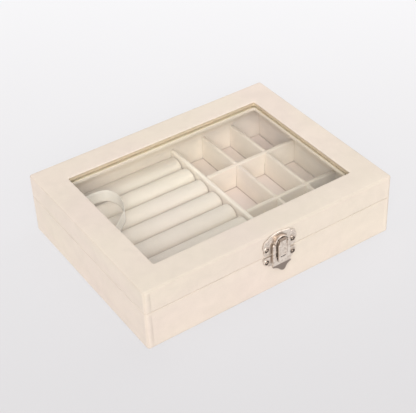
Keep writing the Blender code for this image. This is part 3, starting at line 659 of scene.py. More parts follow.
def turnIn(bm, face, drop, gone):
    # the cloth turns in over a rim: the face goes, and its edges are drawn down as a lip
    edges = list(face.edges)
    bmesh.ops.delete(bm, geom=gone, context="FACES_ONLY")
    lip = vertsOf(bmesh.ops.extrude_edge_only(bm, edges=edges)["geom"])
    bmesh.ops.translate(bm, vec=(0, 0, drop), verts=lip)


def lapCorners(bm, shape, low, high):
    # the cloth's end laps over itself on the front and back, near each corner
    inner = high.x - shape["lapWidth"]
    for place in (inner, inner + shape["lapEase"]):
        cutAt(bm, 0, place)
        cutAt(bm, 0, -place)
    for vert in bm.verts:
        onSide = abs(vert.co.y) > high.y - touch
        between = low.z + shape["lapFoot"] < vert.co.z < high.z - shape["lapHead"]
        if onSide and between and abs(vert.co.x) > inner + shape["lapEase"] / 2:
            vert.co.y += math.copysign(shape["lapStep"], vert.co.y)


def shadeOuterEdges(bm, shape, high):
    # painted shade on the outer edges, so that their rounding catches no more light than the faces
    # beside it
    layer = bm.verts.layers.float.new("shade")
    bm.normal_update()
    for vert in bm.verts:
        outside = abs(vert.co.x) > high.x - shape["hem"] or abs(vert.co.y) > high.y - shape["hem"]
        slope = 1.0 - max(abs(value) for value in vert.normal)
        vert[layer] = shape["edgeShade"] * min(1.0, slope / shape["edgeSlope"]) if outside else 0.0


def crownRims(bm, shape, level, way):
    # the turned rims swell a little, so that lid and base meet softly
    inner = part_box("base_right_lining")[0].x
    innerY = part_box("base_back_lining")[0].y
    for vert in bm.verts:
        if abs(vert.co.z - level) < touch:
            reach = max(abs(vert.co.x) - inner, abs(vert.co.y) - innerY)
            share = max(0.0, min(1.0, reach / (cadHigh.x - inner)))
            vert.co.z += way * shape["rimCrown"] * math.sin(math.pi * share)


def startCover(body, rim, rimWidth, farWidth):
    # a block whose rim side is inset to the linings, and whose far side is inset for its opening
    low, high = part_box(f"{body}_velvet_wrap")
    bm = blockMesh(low, high)
    top = facesToward(bm, (0, 0, 1))
    bottom = facesToward(bm, (0, 0, -1))
    inset(bm, top, rimWidth if rim == "top" else farWidth)
    inset(bm, bottom, farWidth if rim == "top" else rimWidth)
    return bm, low, high, top[0], bottom[0]


def finishCover(bm, body, shape):
    piece = f"{body}_velvet_cover"
    cover = addPiece(piece, bm, outerVelvet, body, f"{body}_velvet_wrap", 40)
    thicken(cover, shape["thickness"])


def makeLidCover(shape):
    frameWidth = shape["windowInset"] + shape["lipOverhang"]
    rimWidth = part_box("lid_velvet_wrap")[1].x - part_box("lid_right_lining")[0].x
    bm, low, high, top, bottom = startCover("lid", "bottom", rimWidth, frameWidth)
    turnIn(bm, top, -shape["lipTurn"], [top])
    turnIn(bm, bottom, shape["lipTurn"], [bottom])
    upright = [edge for edge in bm.edges if heightOf(edge) > slightRise]
    outer = [edge for edge in upright if abs(edge.verts[0].co.x) > high.x - mm]
    inside = high.x - 2 * shape["hem"] - mm
    window = [edge for edge in upright if abs(edge.verts[0].co.x) < inside]
    roundOff(bm, outer, shape["cornerRadius"], 6)
    roundOff(bm, window, shape["windowCorner"], 6)
    windowX, windowY = high.x - frameWidth + mm, high.y - frameWidth + mm
    atWindow = lambda spot: abs(spot.x) < windowX and abs(spot.y) < windowY
    roundOff(bm, rimEdges(bm, (0, 0, 1), lambda spot: not atWindow(spot)), shape["topRadius"], 5)
    roundOff(bm, rimEdges(bm, (0, 0, 1), atWindow), shape["lipRadius"], 3)
    roundOff(bm, rimEdges(bm, (0, 0, -1)), shape["rimRadius"], 3)
    cutEvery(bm, shape["cell"])
    lapCorners(bm, shape, low, high)
    for vert in bm.verts:
        if vert.co.z > high.z - shape["crownReach"]:
            share = (high.x - abs(vert.co.x)) / frameWidth, (high.y - abs(vert.co.y)) / frameWidth
            vert.co.z += shape["topCrown"] * math.sin(math.pi * max(0.0, min(1.0, *share)))
    crownRims(bm, shape, low.z, -1)
    shadeOuterEdges(bm, shape, high)
    wobble(bm, shape["wobble"], shape["patch"], 1)
    finishCover(bm, "lid", shape)


def makeBaseCover(shape):
    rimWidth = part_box("base_velvet_wrap")[1].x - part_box("base_right_lining")[0].x
    bm, low, high, top, bottom = startCover("base", "top", rimWidth, shape["hem"])
    turnIn(bm, top, -shape["lipTurn"], [top, bottom])
    upright = [edge for edge in bm.edges if heightOf(edge) > 2 * shape["lipTurn"]]
    roundOff(bm, upright, shape["cornerRadius"], 6)
    roundOff(bm, rimEdges(bm, (0, 0, 1)), shape["rimRadius"], 3)
    roundOff(bm, rimEdges(bm, (0, 0, -1)), shape["rimRadius"], 3)
    cutEvery(bm, shape["cell"])
    lapCorners(bm, shape, low, high)
    crownRims(bm, shape, high.z, 1)
    shadeOuterEdges(bm, shape, high)
    wobble(bm, shape["wobble"], shape["patch"], 2)
    for vert in bm.verts:
        vert.co.z = max(vert.co.z, low.z)
    finishCover(bm, "base", shape)


makeLidCover(coverShape)
makeBaseCover(coverShape)
print("coverings drawn over the boards")


# Linings, glass frame and dividers: velvet over card, with soft edges
cardShape = {
    "liningRadius": 0.45 * mm,
    "dividerRadius": 1.15 * mm,
    "dividerSlim": 0.97,
    "topShade": 0.35,
    "notchEase": 0.4 * mm,
    "lapGap": 0.15 * mm,
    "mainRadius": 1.4 * mm,
    "frameRadius": 0.4 * mm,
    "frameGap": 0.08 * mm,
    "frameDrop": 1.1 * mm,
    "pocketGap": 0.3 * mm,
    "cell": 2.4 * mm,
    "wobble": 0.03 * mm,
    "patch": 14.0 * mm,
}


def finishCard(bm, name, body, shape, seed):
    cutEvery(bm, shape["cell"])
    wobble(bm, shape["wobble"], shape["patch"], seed)
    addPiece(name, bm, innerVelvet, body, name.replace("velvet_", ""), 50)


def makeLining(side, body, shape, seed):
    bm = blockMesh(*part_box(f"{body}_{side}_lining"))
    roundOff(bm, bm.edges[:], shape["liningRadius"], 3)
    finishCard(bm, f"{body}_{side}_velvet_lining", body, shape, seed)


def makeMainDivider(shape):
    bm = blockMesh(*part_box("main_divider"))
    roundOff(bm, rimEdges(bm, (0, 0, 1)), shape["mainRadius"], 5)
    finishCard(bm, "velvet_main_divider", "base", shape, 11)


def makeGlassFrame(shape):
    low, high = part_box("lid_glass_frame")
    glassLow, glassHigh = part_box("window_glass")
    pocket = high.x - glassHigh.x - shape["pocketGap"]
    window = coverShape["windowInset"] - (cadHigh.x - high.x)
    seatZ = glassLow.z - shape["frameGap"]
    bm = blockMesh(low, high)
    top = facesToward(bm, (0, 0, 1))
    bottom = facesToward(bm, (0, 0, -1))
    inset(bm, top, pocket)
    sunk = bmesh.ops.extrude_face_region(bm, geom=top)["geom"]
    seat = [item for item in sunk if isinstance(item, bmesh.types.BMFace)]
    bmesh.ops.delete(bm, geom=top, context="FACES_ONLY")
    bmesh.ops.translate(bm, vec=(0, 0, seatZ - high.z), verts=seat[0].verts[:])
    inset(bm, seat, window - pocket)
    inset(bm, bottom, window)
    bmesh.ops.translate(bm, vec=(0, 0, -shape["frameDrop"]), verts=bottom[0].verts[:])
    rings = list(seat[0].edges) + list(bottom[0].edges)
    bmesh.ops.delete(bm, geom=[seat[0], bottom[0]], context="FACES_ONLY")
    bmesh.ops.bridge_loops(bm, edges=rings)
    bmesh.ops.recalc_face_normals(bm, faces=bm.faces)
    innerX, innerY = high.x - window + mm, high.y - window + mm
    inner = lambda spot: abs(spot.x) < innerX and abs(spot.y) < innerY
    around = [edge for edge in bm.edges if all(inner(vert.co) for vert in edge.verts)]
    upright = [edge for edge in around if heightOf(edge) > slightRise]
    roundOff(bm, upright, coverShape["windowCorner"], 5)
    roundOff(bm, rimEdges(bm, (0, 0, -1), inner), shape["frameRadius"], 3)
    roundOff(bm, rimEdges(bm, (0, 0, 1), inner), shape["frameRadius"], 2)
    cutEvery(bm, shape["cell"], (0, 1))
    for face in bm.faces:
        if face.calc_center_median().z > seatZ - touch:
            face.material_index = 1        # bare board where the glass sits, in the tone painted lighter against the pocket's shade
    ring = addPiece("velvet_glass_frame", bm, innerVelvet, "lid", "lid_glass_frame", 50)
    ring.data.materials.append(seatBoard)


def makeLapDivider(name, axis, crossings, notchTop, shape, seed):
    # a card strip, notched from above or below where it crosses the others
    low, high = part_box(name)
    other = 1 - axis
    middle = (low[other] + high[other]) / 2
    lap = (low.z + high.z) / 2
    notchHalf = (high[other] - low[other]) / 2 + shape["notchEase"]
    near, far = (high.z, low.z) if notchTop else (low.z, high.z)
    reach = lap - shape["lapGap"] if notchTop else lap + shape["lapGap"]
    points = [(low[axis], far), (low[axis], near)]
    for place in crossings:
        points += [(place - notchHalf, near), (place - notchHalf, reach)]
        points += [(place + notchHalf, reach), (place + notchHalf, near)]
    points += [(high[axis], near), (high[axis], far)]
    bm = bmesh.new()
    verts = []
    for along, z in points:
        spot = Vector((0, 0, z))
        spot[axis] = along
        spot[other] = low[other]
        verts.append(bm.verts.new(spot))
    raised = bmesh.ops.extrude_face_region(bm, geom=[bm.faces.new(verts)])["geom"]
    across = Vector((0, 0, 0))
    across[other] = high[other] - low[other]
    bmesh.ops.translate(bm, vec=across, verts=vertsOf(raised))
    bmesh.ops.recalc_face_normals(bm, faces=bm.faces)
    roundOff(bm, rimEdges(bm, (0, 0, 1)), shape["dividerRadius"], 4)
    cutEvery(bm, shape["cell"])
    wobble(bm, shape["wobble"], shape["patch"], seed)
    # painted shade on the divider's top, which catches more light than its sides
    layer = bm.verts.layers.float.new("shade")
    for vert in bm.verts:
        vert.co[other] = middle + (vert.co[other] - middle) * shape["dividerSlim"]
        onTop = vert.co.z > high.z - shape["dividerRadius"] / 2
        vert[layer] = shape["topShade"] if onTop else 0.0
    addPiece(name.replace("divider", "velvet_divider"), bm, innerVelvet, "base", name, 50)


def middleOf(name, axis):
    low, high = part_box(name)
    return (low[axis] + high[axis]) / 2


columns = ["column_divider_left", "column_divider_right"]
rows = ["row_divider_front", "row_divider_back"]


def makeCards(shape):
    seed = 20
    for body in ("base", "lid"):
        for side in ("front", "back", "left", "right"):
            makeLining(side, body, shape, seed)
            seed += 1
    makeGlassFrame(shape)
    makeMainDivider(shape)
    for axis, own, crossed in ((1, columns, rows), (0, rows, columns)):
        for name in own:
            crossings = [middleOf(other, axis) for other in crossed]
            makeLapDivider(name, axis, crossings, own is columns, shape, seed)
            seed += 1


makeCards(cardShape)
print("linings and dividers set in")


# Floor pad: one velvet pad, pressed into a groove along every wall and divider
padShape = {
    "groove": 0.45 * mm,
    "grooveDepth": 0.5 * mm,
    "grooveShade": 1.6,
    "swell": 0.2 * mm,
    "cell": 2.2 * mm,
    "wobble": 0.06 * mm,
}
feltShape = {
    "radius": 0.2 * mm,
    "cell": 4.0 * mm,
    "drift": 0.25 * mm,
    "patch": 9.0 * mm,
}


def makeFloorPad(shape):
    low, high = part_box("floor_pad")
    bm = blockMesh(low, high)
    lines = {0: [low.x, high.x], 1: [low.y, high.y]}
    for axis, walls in ((0, ["main_divider", *columns]), (1, rows)):
        for name in walls:
            lines[axis] += [corner[axis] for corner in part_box(name)]
    cutEvery(bm, shape["cell"], (0, 1))
    for axis, places in lines.items():
        for place in places:
            for offset in (-1.0, -0.5, 0.0, 0.5, 1.0):
                cutAt(bm, axis, place + offset * shape["groove"])
    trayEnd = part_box("main_divider")[0].x
    # painted shade: each groove along the walls and dividers is also painted dark
    layer = bm.verts.layers.float.new("shade")
    for vert in bm.verts:
        if vert.co.z > high.z - touch:
            near = min(abs(vert.co.x - place) for place in lines[0])
            if vert.co.x > trayEnd:
                near = min(near, *(abs(vert.co.y - place) for place in lines[1]))
            press = max(0.0, 1.0 - near / shape["groove"])
            vert.co.z += shape["swell"] - (shape["grooveDepth"] + shape["swell"]) * press
            vert[layer] = min(1.0, shape["grooveShade"] * press)
    wobble(bm, shape["wobble"], cardShape["patch"], 40)
    addPiece("velvet_floor_pad", bm, floorVelvet, "base", "floor_pad", 60)


def makeFeltSheet(shape):
    low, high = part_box("bottom_felt")
    bm = blockMesh(low, high)
    roundOff(bm, rimEdges(bm, (0, 0, 1)) + rimEdges(bm, (0, 0, -1)), shape["radius"], 2)
    cutEvery(bm, shape["cell"], (0, 1))
    for vert in bm.verts:
        drift = noise.noise(vert.co / shape["patch"])
        for axis in (0, 1):
            if abs(vert.co[axis]) > high[axis] - mm:
                vert.co[axis] += shape["drift"] * drift
    addPiece("felt_sheet", bm, felt, "base", "bottom_felt", 60)


makeFloorPad(padShape)
makeFeltSheet(feltShape)
print("floor pad and felt laid")


# Ring rolls: velvet sleeves blown out over foam by a cloth simulation, each with a hemmed end
rollShape = {
    "sides": 48,
    "cell": 2.2 * mm,
    "slimmer": 0.42 * mm,
    "endRadius": 0.5 * mm,
    "endSteps": (1.6 * mm, 1.9 * mm, 2.1 * mm),
    "fullness": 2.35,
    "creaseTop": 3.8 * mm,
    "creaseFade": 0.8 * mm,
    "creaseShade": 0.28,
    "endShade": 0.9,
    "hem": 1.5 * mm,
    "hemShares": (0.5, 0.8, 1.1, 1.5, 1.9),
    "hemPinch": 0.16 * mm,
    "pinchWidth": 0.5 * mm,
    "lump": 0.09 * mm,
    "lumpSize": 11.0 * mm,
    "clearance": 0.03 * mm,
    "most": 0.55 * mm,
    "scale": 10.0,
    "apart": 0.4,
    "frames": 20,
    "seamAngle": 25.0,
    "endDisc": 0.05,
    "endHold": 0.6,
    "cloth": {
        "quality": 6,
        "mass": 0.3,
        "tension_stiffness": 20,
        "compression_stiffness": 20,
        "bending_stiffness": 1.5,
        "use_pressure": True,
        "uniform_pressure_force": 4.0,
        "vertex_group_mass": "held",
    },
}


def rollMesh(low, high, shape):
    radius = (high.z - low.z) / 2 - shape["slimmer"]
    middle = (low + high) / 2
    bm = bmesh.new()
    bmesh.ops.create_cone(
        bm,
        cap_ends=True,
        segments=shape["sides"],
        radius1=radius,
        radius2=radius,
        depth=high.x - low.x - shape["slimmer"],
        matrix=Matrix.Translation(middle) @ Matrix.Rotation(math.radians(90), 4, "Y"),
    )
    ends = [face for face in bm.faces if len(face.verts) > 4]
    roundOff(bm, [edge for face in ends for edge in face.edges], shape["endRadius"], 3)
    ends = [face for face in bm.faces if len(face.verts) > 4]
    for step in shape["endSteps"]:
        inset(bm, ends, step)
    bmesh.ops.poke(bm, faces=ends)
    cutEvery(bm, shape["cell"], (0,))
    for share in shape["hemShares"]:
        for end, way in ((low.x, 1), (high.x, -1)):
            cutAt(bm, 0, end + way * (share * shape["hem"] + shape["slimmer"] / 2))
    return bm, middle, radius


def makeSleeve(number, low, high, shape):
    # a slim sleeve, made large for the simulation and set apart from the others
    bm, middle, radius = rollMesh(low, high, shape)
    for vert in bm.verts:
        lump = noise.noise(vert.co / shape["lumpSize"] + Vector((0, 0, number * 5.0)))
        away = vert.co - Vector((vert.co.x, middle.y, middle.z))
        if away.length > 0.5 * radius:
            vert.co += away.normalized() * shape["lump"] * lump
    start = [vert.co.copy() for vert in bm.verts]
    bmesh.ops.translate(bm, vec=-middle, verts=bm.verts)
    bmesh.ops.scale(bm, vec=Vector((1, 1, 1)) * shape["scale"], verts=bm.verts)
    sleeve = meshObject(f"sleeve_{number}", bm)
    sleeve.location = (0, 0, number * shape["apart"])
    return sleeve, start, low, high, middle


def blowOut(sleeve, shape):
    # the seam under the roll and the glued end disc hold, the rest swells
    held = sleeve.vertex_groups.new(name="held")
    firstX = sleeve.data.vertices[0].co.x
    for vert in sleeve.data.vertices:
        out = math.hypot(vert.co.y, vert.co.z)
        angle = math.degrees(math.atan2(abs(vert.co.y), -vert.co.z))
        if angle < shape["seamAngle"] and out > shape["endDisc"]:
            held.add([vert.index], 1.0, "REPLACE")
        elif out < shape["endDisc"] and abs(vert.co.x) > max(firstX, vert.co.x):
            held.add([vert.index], shape["endHold"], "REPLACE")
    cloth = sleeve.modifiers.new("swell", "CLOTH")
    for setting, value in shape["cloth"].items():
        setattr(cloth.settings, setting, value)
    cloth.settings.effector_weights.gravity = 0.0
    cloth.point_cache.frame_start = 1
    cloth.point_cache.frame_end = shape["frames"]


def finishRoll(number, sleeve, start, low, high, middle, blown, shape):
    mesh = sleeve.data
    sleeve.modifiers.clear()
    half = (high.y - low.y) / 2 - shape["clearance"]
    power = shape["fullness"]
    for vert, was, now in zip(mesh.vertices, start, blown):
        moved = middle + now / shape["scale"] - was
        if moved.length > shape["most"]:
            moved = moved.normalized() * shape["most"]
        spot = was + moved
        fromEnd = min(spot.x - low.x, high.x - spot.x)
        pinch = max(0.0, 1.0 - abs(fromEnd - shape["hem"]) / shape["pinchWidth"])
        away = Vector((0, spot.y - middle.y, spot.z - middle.z))
        if away.length > 0.7 * half:
            way = away.normalized()
            fuller = (abs(way.y) ** power + abs(way.z) ** power) ** (-1 / power)
            spot += away * (fuller - 1.0) - way * shape["hemPinch"] * pinch
        spot.y = max(middle.y - half, min(middle.y + half, spot.y))
        spot.z = max(low.z, min(high.z, spot.z))
        spot.x = max(low.x, min(high.x, spot.x))
        vert.co = spot
    bpy.data.objects.remove(sleeve)
    bm = bmesh.new()
    bm.from_mesh(mesh)
    # painted shade: each roll is darker below a line a little above its middle, where it meets the
    # next roll, and darkest at its right end, in the gap against the divider
    layer = bm.verts.layers.float.new("shade")
    creaseTop = middle.z + shape["creaseTop"]
    for vert in bm.verts:
        deep = shape["creaseShade"] * min(1.0, (creaseTop - vert.co.z) / shape["creaseFade"])
        end = (vert.co.x - high.x + shape["endRadius"]) / (0.5 * shape["endRadius"])
        vert[layer] = max(0.0, deep, shape["endShade"] * min(1.0, end))
    roll = addPiece(f"velvet_roll_{number}", bm, rollVelvet, "base", f"ring_roll_{number}")
    smooth = roll.modifiers.new("smooth", "SUBSURF")
    smooth.levels = 1
    smooth.render_levels = 1


def makeRolls(shape):
    rolls = []
    for number in range(1, 9):
        rolls.append(makeSleeve(number, *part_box(f"ring_roll_{number}"), shape))
        blowOut(rolls[-1][0], shape)
    for step in range(1, shape["frames"] + 1):
        scene.frame_set(step)
    graph = bpy.context.evaluated_depsgraph_get()
    swollen = [roll[0].evaluated_get(graph).data.vertices for roll in rolls]
    blown = [[vert.co.copy() for vert in verts] for verts in swollen]
    for number, (roll, spots) in enumerate(zip(rolls, blown), 1):
        finishRoll(number, *roll, spots, shape)
    scene.frame_set(1)


makeRolls(rollShape)
print("ring rolls padded")


# Stay ribbon: satin on edge, in a loose loop over the rolls from the lid's side to the base's
ribbonShape = {
    "width": 10.0 * mm,
    "thickness": 0.25 * mm,
    # shares of the inner width and depth, and of the way up from the rolls to the glass frame
    "routeShares": (
        (-0.9905, -0.159, 0.960),
        (-0.960, -0.099, 0.850),
        (-0.881, -0.030, 0.670),
        (-0.796, 0.032, 0.493),
        (-0.732, 0.106, 0.359),
        (-0.678, 0.181, 0.246),
        (-0.628, 0.249, 0.146),
        (-0.591, 0.319, 0.078),
        (-0.564, 0.410, 0.050),
        (-0.551, 0.506, 0.050),
        (-0.559, 0.583, 0.050),
        (-0.592, 0.659, 0.050),
        (-0.653, 0.691, 0.050),
        (-0.722, 0.695, 0.050),
        (-0.791, 0.683, 0.050),
        (-0.865, 0.681, 0.045),
        (-0.930, 0.695, 0.034),
        (-0.973, 0.727, 0.022),
        (-0.9905, 0.781, -0.112),
        (-0.9905, 0.848, -0.314),
    ),
    "stepsEach": 7,
    "rows": 8,
    "flatLength": 124.5 * mm,
    "blendStart": 40.0 * mm,
    "blendEnd": -9.0 * mm,
}


def smoothRoute(places, stepsEach):
    padded = [2 * places[0] - places[1], *places, 2 * places[-1] - places[-2]]
    route = []
    for before, start, end, after in zip(padded, padded[1:], padded[2:], padded[3:]):
        for step in range(stepsEach):
            t = step / stepsEach
            bend = 2 * before - 5 * start + 4 * end - after
            twist = 3 * start - before - 3 * end + after
            route.append((2 * start + (end - before) * t + bend * t**2 + twist * t**3) / 2)
    route.append(places[-1])
    return route


def mapRibbon(bm, route, width):
    # lengthwise and across, for the satin's threads
    layer = bm.loops.layers.uv.new("ribbon")
    lengths = [0.0]
    for first, second in zip(route, route[1:]):
        lengths.append(lengths[-1] + (second - first).length)
    for loop in (loop for face in bm.faces for loop in face.loops):
        spot = loop.vert.co
        gaps = [(place.x - spot.x) ** 2 + (place.y - spot.y) ** 2 for place in route]
        nearest = gaps.index(min(gaps))
        loop[layer].uv = (lengths[nearest], spot.z - route[nearest].z + width / 2)


def makeRibbon(shape):
    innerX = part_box("base_right_lining")[0].x
    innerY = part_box("base_back_lining")[0].y
    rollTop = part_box("ring_roll_1")[1].z
    width = shape["width"]
    lowest = rollTop + width / 2
    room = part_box("lid_glass_frame")[0].z - rollTop - width
    shares = shape["routeShares"]
    places = [Vector((x * innerX, y * innerY, lowest + rise * room)) for x, y, rise in shares]
    route = smoothRoute(places, shape["stepsEach"])
    bm = bmesh.new()
    lower = [bm.verts.new(place - Vector((0, 0, width / 2))) for place in route]
    edges = [bm.edges.new(pair) for pair in zip(lower, lower[1:])]
    for _ in range(shape["rows"]):
        raised = bmesh.ops.extrude_edge_only(bm, edges=edges)["geom"]
        edges = [item for item in raised if isinstance(item, bmesh.types.BMEdge)]
        edges = [edge for edge in edges if heightOf(edge) < slightRise]
        bmesh.ops.translate(bm, vec=(0, 0, width / shape["rows"]), verts=vertsOf(raised))
    bmesh.ops.recalc_face_normals(bm, faces=bm.faces)
    mapRibbon(bm, route, width)
    ribbon = addPiece("satin_ribbon", bm, satin, None, "lid_stay_ribbon")
    thicken(ribbon, shape["thickness"], 0.0)
    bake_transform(ribbon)


makeRibbon(ribbonShape)
print("ribbon looped")


# Metalwork helpers: flat shapes standing against the front, rods and domes


def arcPoints(x, z, radiusX, radiusZ, start, end, steps):
    turn = (end - start) / steps
    angles = [math.radians(start + turn * step) for step in range(steps + 1)]
    return [(x + radiusX * math.cos(a), z + radiusZ * math.sin(a)) for a in angles]


def bowedEdge(start, end, bow, steps=8):
    alongX, alongZ = end[0] - start[0], end[1] - start[1]
    points = []
    for step in range(steps if bow else 1):
        t = step / steps
        out = 4 * bow * t * (1 - t)
        points.append((start[0] + alongX * t + alongZ * out, start[1] + alongZ * t - alongX * out))
    return points


def lobedOutline(sideShares, crown, foot, halfWide, height):
    right = [(x * halfWide, z * height) for x, z, _ in sideShares]
    corners = right + [(-x, z) for x, z in reversed(right)]
    sideBows = [bow for _, _, bow in sideShares[:-1]]
    bows = sideBows + [crown] + sideBows[::-1] + [foot]
    points = []
    for number, start in enumerate(corners):
        points += bowedEdge(start, corners[(number + 1) % len(corners)], bows[number])
    return points


def standingPlate(points, x, z, backY, frontY, edge):
    # an outline in the upright plane, given thickness towards the front and a rounded front edge
    bm = bmesh.new()
    face = bm.faces.new([bm.verts.new((x + u, backY, z + v)) for u, v in points])
    raised = bmesh.ops.extrude_face_region(bm, geom=[face])["geom"]
    bmesh.ops.translate(bm, vec=(0, frontY - backY, 0), verts=vertsOf(raised))
    bmesh.ops.recalc_face_normals(bm, faces=bm.faces)
    if edge:
        roundOff(bm, rimEdges(bm, (0, math.copysign(1, frontY - backY), 0)), edge, 2)
    return bm


def toPlace(x, y, z, axis):
    # from upright at the origin to a place along an axis
    turn = Vector((0, 0, 1)).rotation_difference(Vector(axis)).to_matrix().to_4x4()
    return Matrix.Translation((x, y, z)) @ turn


def rodMesh(x, y, z, radius, length, axis, sides, edge):
    bm = bmesh.new()
    bmesh.ops.create_cone(
        bm,
        cap_ends=True,
        segments=sides,
        radius1=radius,
        radius2=radius,
        depth=length,
        matrix=toPlace(x, y, z, axis),
    )
    rims = [rim for face in bm.faces if len(face.verts) > 4 for rim in face.edges]
    roundOff(bm, rims, edge, 2)
    return bm


def joined(parts):
    whole = bmesh.new()
    for part in parts:
        scrap = bpy.data.meshes.new("part")
        part.to_mesh(scrap)
        part.free()
        whole.from_mesh(scrap)
        bpy.data.meshes.remove(scrap)
    return whole


def turnedMesh(profile, x, y, z, axis, steps=24):
    # a profile of radius and height, spun about its axis
    bm = bmesh.new()
    verts = [bm.verts.new((radius, 0, height)) for radius, height in profile]
    edges = [bm.edges.new(pair) for pair in zip(verts, verts[1:])]
    bmesh.ops.spin(
        bm,
        geom=verts + edges,
        cent=(0, 0, 0),
        axis=(0, 0, 1),
        angle=math.tau,
        steps=steps,
        use_merge=True,
    )
    bmesh.ops.remove_doubles(bm, verts=bm.verts, dist=weld)
    bmesh.ops.recalc_face_normals(bm, faces=bm.faces)
    bmesh.ops.transform(bm, matrix=toPlace(x, y, z, axis), verts=bm.verts)
    return bm


def domeProfile(radius):
    angles = [math.radians(angle) for angle in (0, 18, 36, 54, 72, 90)]
    return [(radius * math.sin(angle), radius * math.cos(angle)) for angle in angles] + [(0, 0)]


scrollShape = {
    "radius": 1.95 * mm,
    "thick": 0.50 * mm,
    "sweep": 285,
    "steps": 22,
    "thinFrom": 0.55,
    "thinBy": 0.5,
}


def scrollMesh(x, y, z, start, shape):
    # a raised half round band that curls round a nail and thins out at its ends
    ring, sweep = shape["radius"], shape["sweep"]
    stand = Matrix.Rotation(math.radians(90), 4, "X")
    bm = bmesh.new()
    made = bmesh.ops.create_circle(bm, cap_ends=True, segments=10, radius=shape["thick"])["verts"]
    bmesh.ops.transform(bm, matrix=Matrix.Translation((ring, 0, 0)) @ stand, verts=made)
    bmesh.ops.spin(
        bm,
        geom=bm.verts[:] + bm.edges[:] + bm.faces[:],
        cent=(0, 0, 0),
        axis=(0, 0, 1),
        angle=math.radians(sweep),
        steps=shape["steps"],
    )
    for vert in bm.verts:
        angle = math.degrees(math.atan2(vert.co.y, vert.co.x)) % 360
        share = abs(angle / sweep - 0.5) * 2 if angle <= sweep + 1 else 1.0
        past = max(0.0, share - shape["thinFrom"]) / (1.0 - shape["thinFrom"])
        slim = 1.0 - shape["thinBy"] * past
        out = vert.co.xy.normalized() * ring
        vert.co.x = out.x + (vert.co.x - out.x) * slim
        vert.co.y = out.y + (vert.co.y - out.y) * slim
        vert.co.z *= slim
    bmesh.ops.recalc_face_normals(bm, faces=bm.faces)
    spin = Matrix.Rotation(math.radians(start), 4, "Z")
    bmesh.ops.transform(bm, matrix=Matrix.Translation((x, y, z)) @ stand @ spin, verts=bm.verts)
    return bm


# Latch plates: scalloped plates, a curled band round each nail, and the hood over the hasp's pin
plateShape = {
    "thickness": 0.8 * mm,
    "edge": 0.14 * mm,
    "halfWidth": 13.4 * mm,
    "upperHeight": 15.8 * mm,
    "lowerHeight": 8.8 * mm,
    "upperShares": (
        (0.88, 0.00, 0.14),
        (0.94, 0.26, 0.14),
        (0.96, 0.62, 0.18),
        (0.74, 0.81, 0.12),
        (0.44, 0.93, 0.0),
    ),
    "lowerShares": (
        (0.50, 0.08, 0.10),
        (0.82, 0.22, 0.16),
        (0.93, 0.58, 0.16),
        (0.95, 1.00, 0.0),
    ),
    "crown": 0.07,
    "foot": 0.05,
    "upperStarts": {"left": 20, "right": 235},
    "lowerStarts": {"left": 60, "right": 200},
    "beadAcross": 9.9 * mm,
    "beadRise": 1.3 * mm,
    "beadRadius": 0.65 * mm,
    "beadSunk": 0.1 * mm,
    "partSunk": 0.3 * mm,
    "catchHalf": (4.0 * mm, 1.5 * mm),
    "catchBelowTop": 4.2 * mm,
    "catchDepth": 1.2 * mm,
    "catchEdge": 0.25 * mm,
}
hoodShape = {
    "radius": 5.5 * mm,
    "rise": 4.7 * mm,
    "wall": 0.8 * mm,
    "belowPin": 1.35 * mm,
    "drop": 0.45 * mm,
    "depth": 2.8 * mm,
    "edge": 0.2 * mm,
}
nailShape = {
    "latchRadius": 0.95 * mm,
    "hingeRadius": 1.3 * mm,
    "headHeight": 0.6 * mm,
    "undercutShare": 0.9,
    "sunk": 0.08 * mm,
    "shankRadius": 0.4 * mm,
    "shankLength": 3.0 * mm,
    "pointLength": 3.4 * mm,
}
latchX = haspAxis.x


def makeNail(name, seatY, outward, radius, finish, body):
    tall, sunk, shank = (nailShape[part] for part in ("headHeight", "sunk", "shankRadius"))
    profile = [(0, tall)]
    for degrees in (75, 60, 45, 30, 15):
        angle = math.radians(degrees)
        profile.append((radius * math.cos(angle), tall * math.sin(angle)))
    profile += [(radius, 0.0), (radius * nailShape["undercutShare"], -sunk), (shank, -sunk)]
    profile += [(shank, -nailShape["shankLength"]), (0, -nailShape["pointLength"])]
    bm = turnedMesh(profile, middleOf(name, 0), seatY, middleOf(name, 2), (0, outward, 0))
    addPiece(name.replace("nail", "nail_head"), bm, finish, body, name, 50)


def nailScroll(name, start, frontY):
    return scrollMesh(middleOf(name, 0), frontY, middleOf(name, 2), start, scrollShape)


def upperParts(shape, hood, backY, frontY):
    outline = lobedOutline(
        shape["upperShares"], shape["crown"], 0.0, shape["halfWidth"], shape["upperHeight"]
    )
    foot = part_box("lid_latch_plate")[0].z
    parts = [standingPlate(outline, latchX, foot, backY, frontY, shape["edge"])]
    beadY = frontY + shape["beadSunk"]
    beadZ = haspAxis.z + shape["beadRise"]
    for side, way in (("left", -1), ("right", 1)):
        parts.append(nailScroll(f"lid_latch_nail_{side}", shape["upperStarts"][side], frontY))
        beadX = latchX + way * shape["beadAcross"]
        bead = turnedMesh(domeProfile(shape["beadRadius"]), beadX, beadY, beadZ, (0, -1, 0))
        parts.append(bead)
    outer, drop = hood["radius"], -hood["drop"]
    inner = outer - hood["wall"]
    arch = [(outer, drop)] + arcPoints(0, 0, outer, hood["rise"], 0, 180, 28)
    arch += [(-outer, drop), (-inner, drop)]
    arch += arcPoints(0, 0, inner, hood["rise"] - hood["wall"], 180, 0, 28) + [(inner, drop)]
    hoodZ = haspAxis.z - hood["belowPin"]
    hoodBack = frontY + shape["partSunk"]
    hoodFront = frontY - hood["depth"]
    parts.append(standingPlate(arch, latchX, hoodZ, hoodBack, hoodFront, hood["edge"]))
    return parts


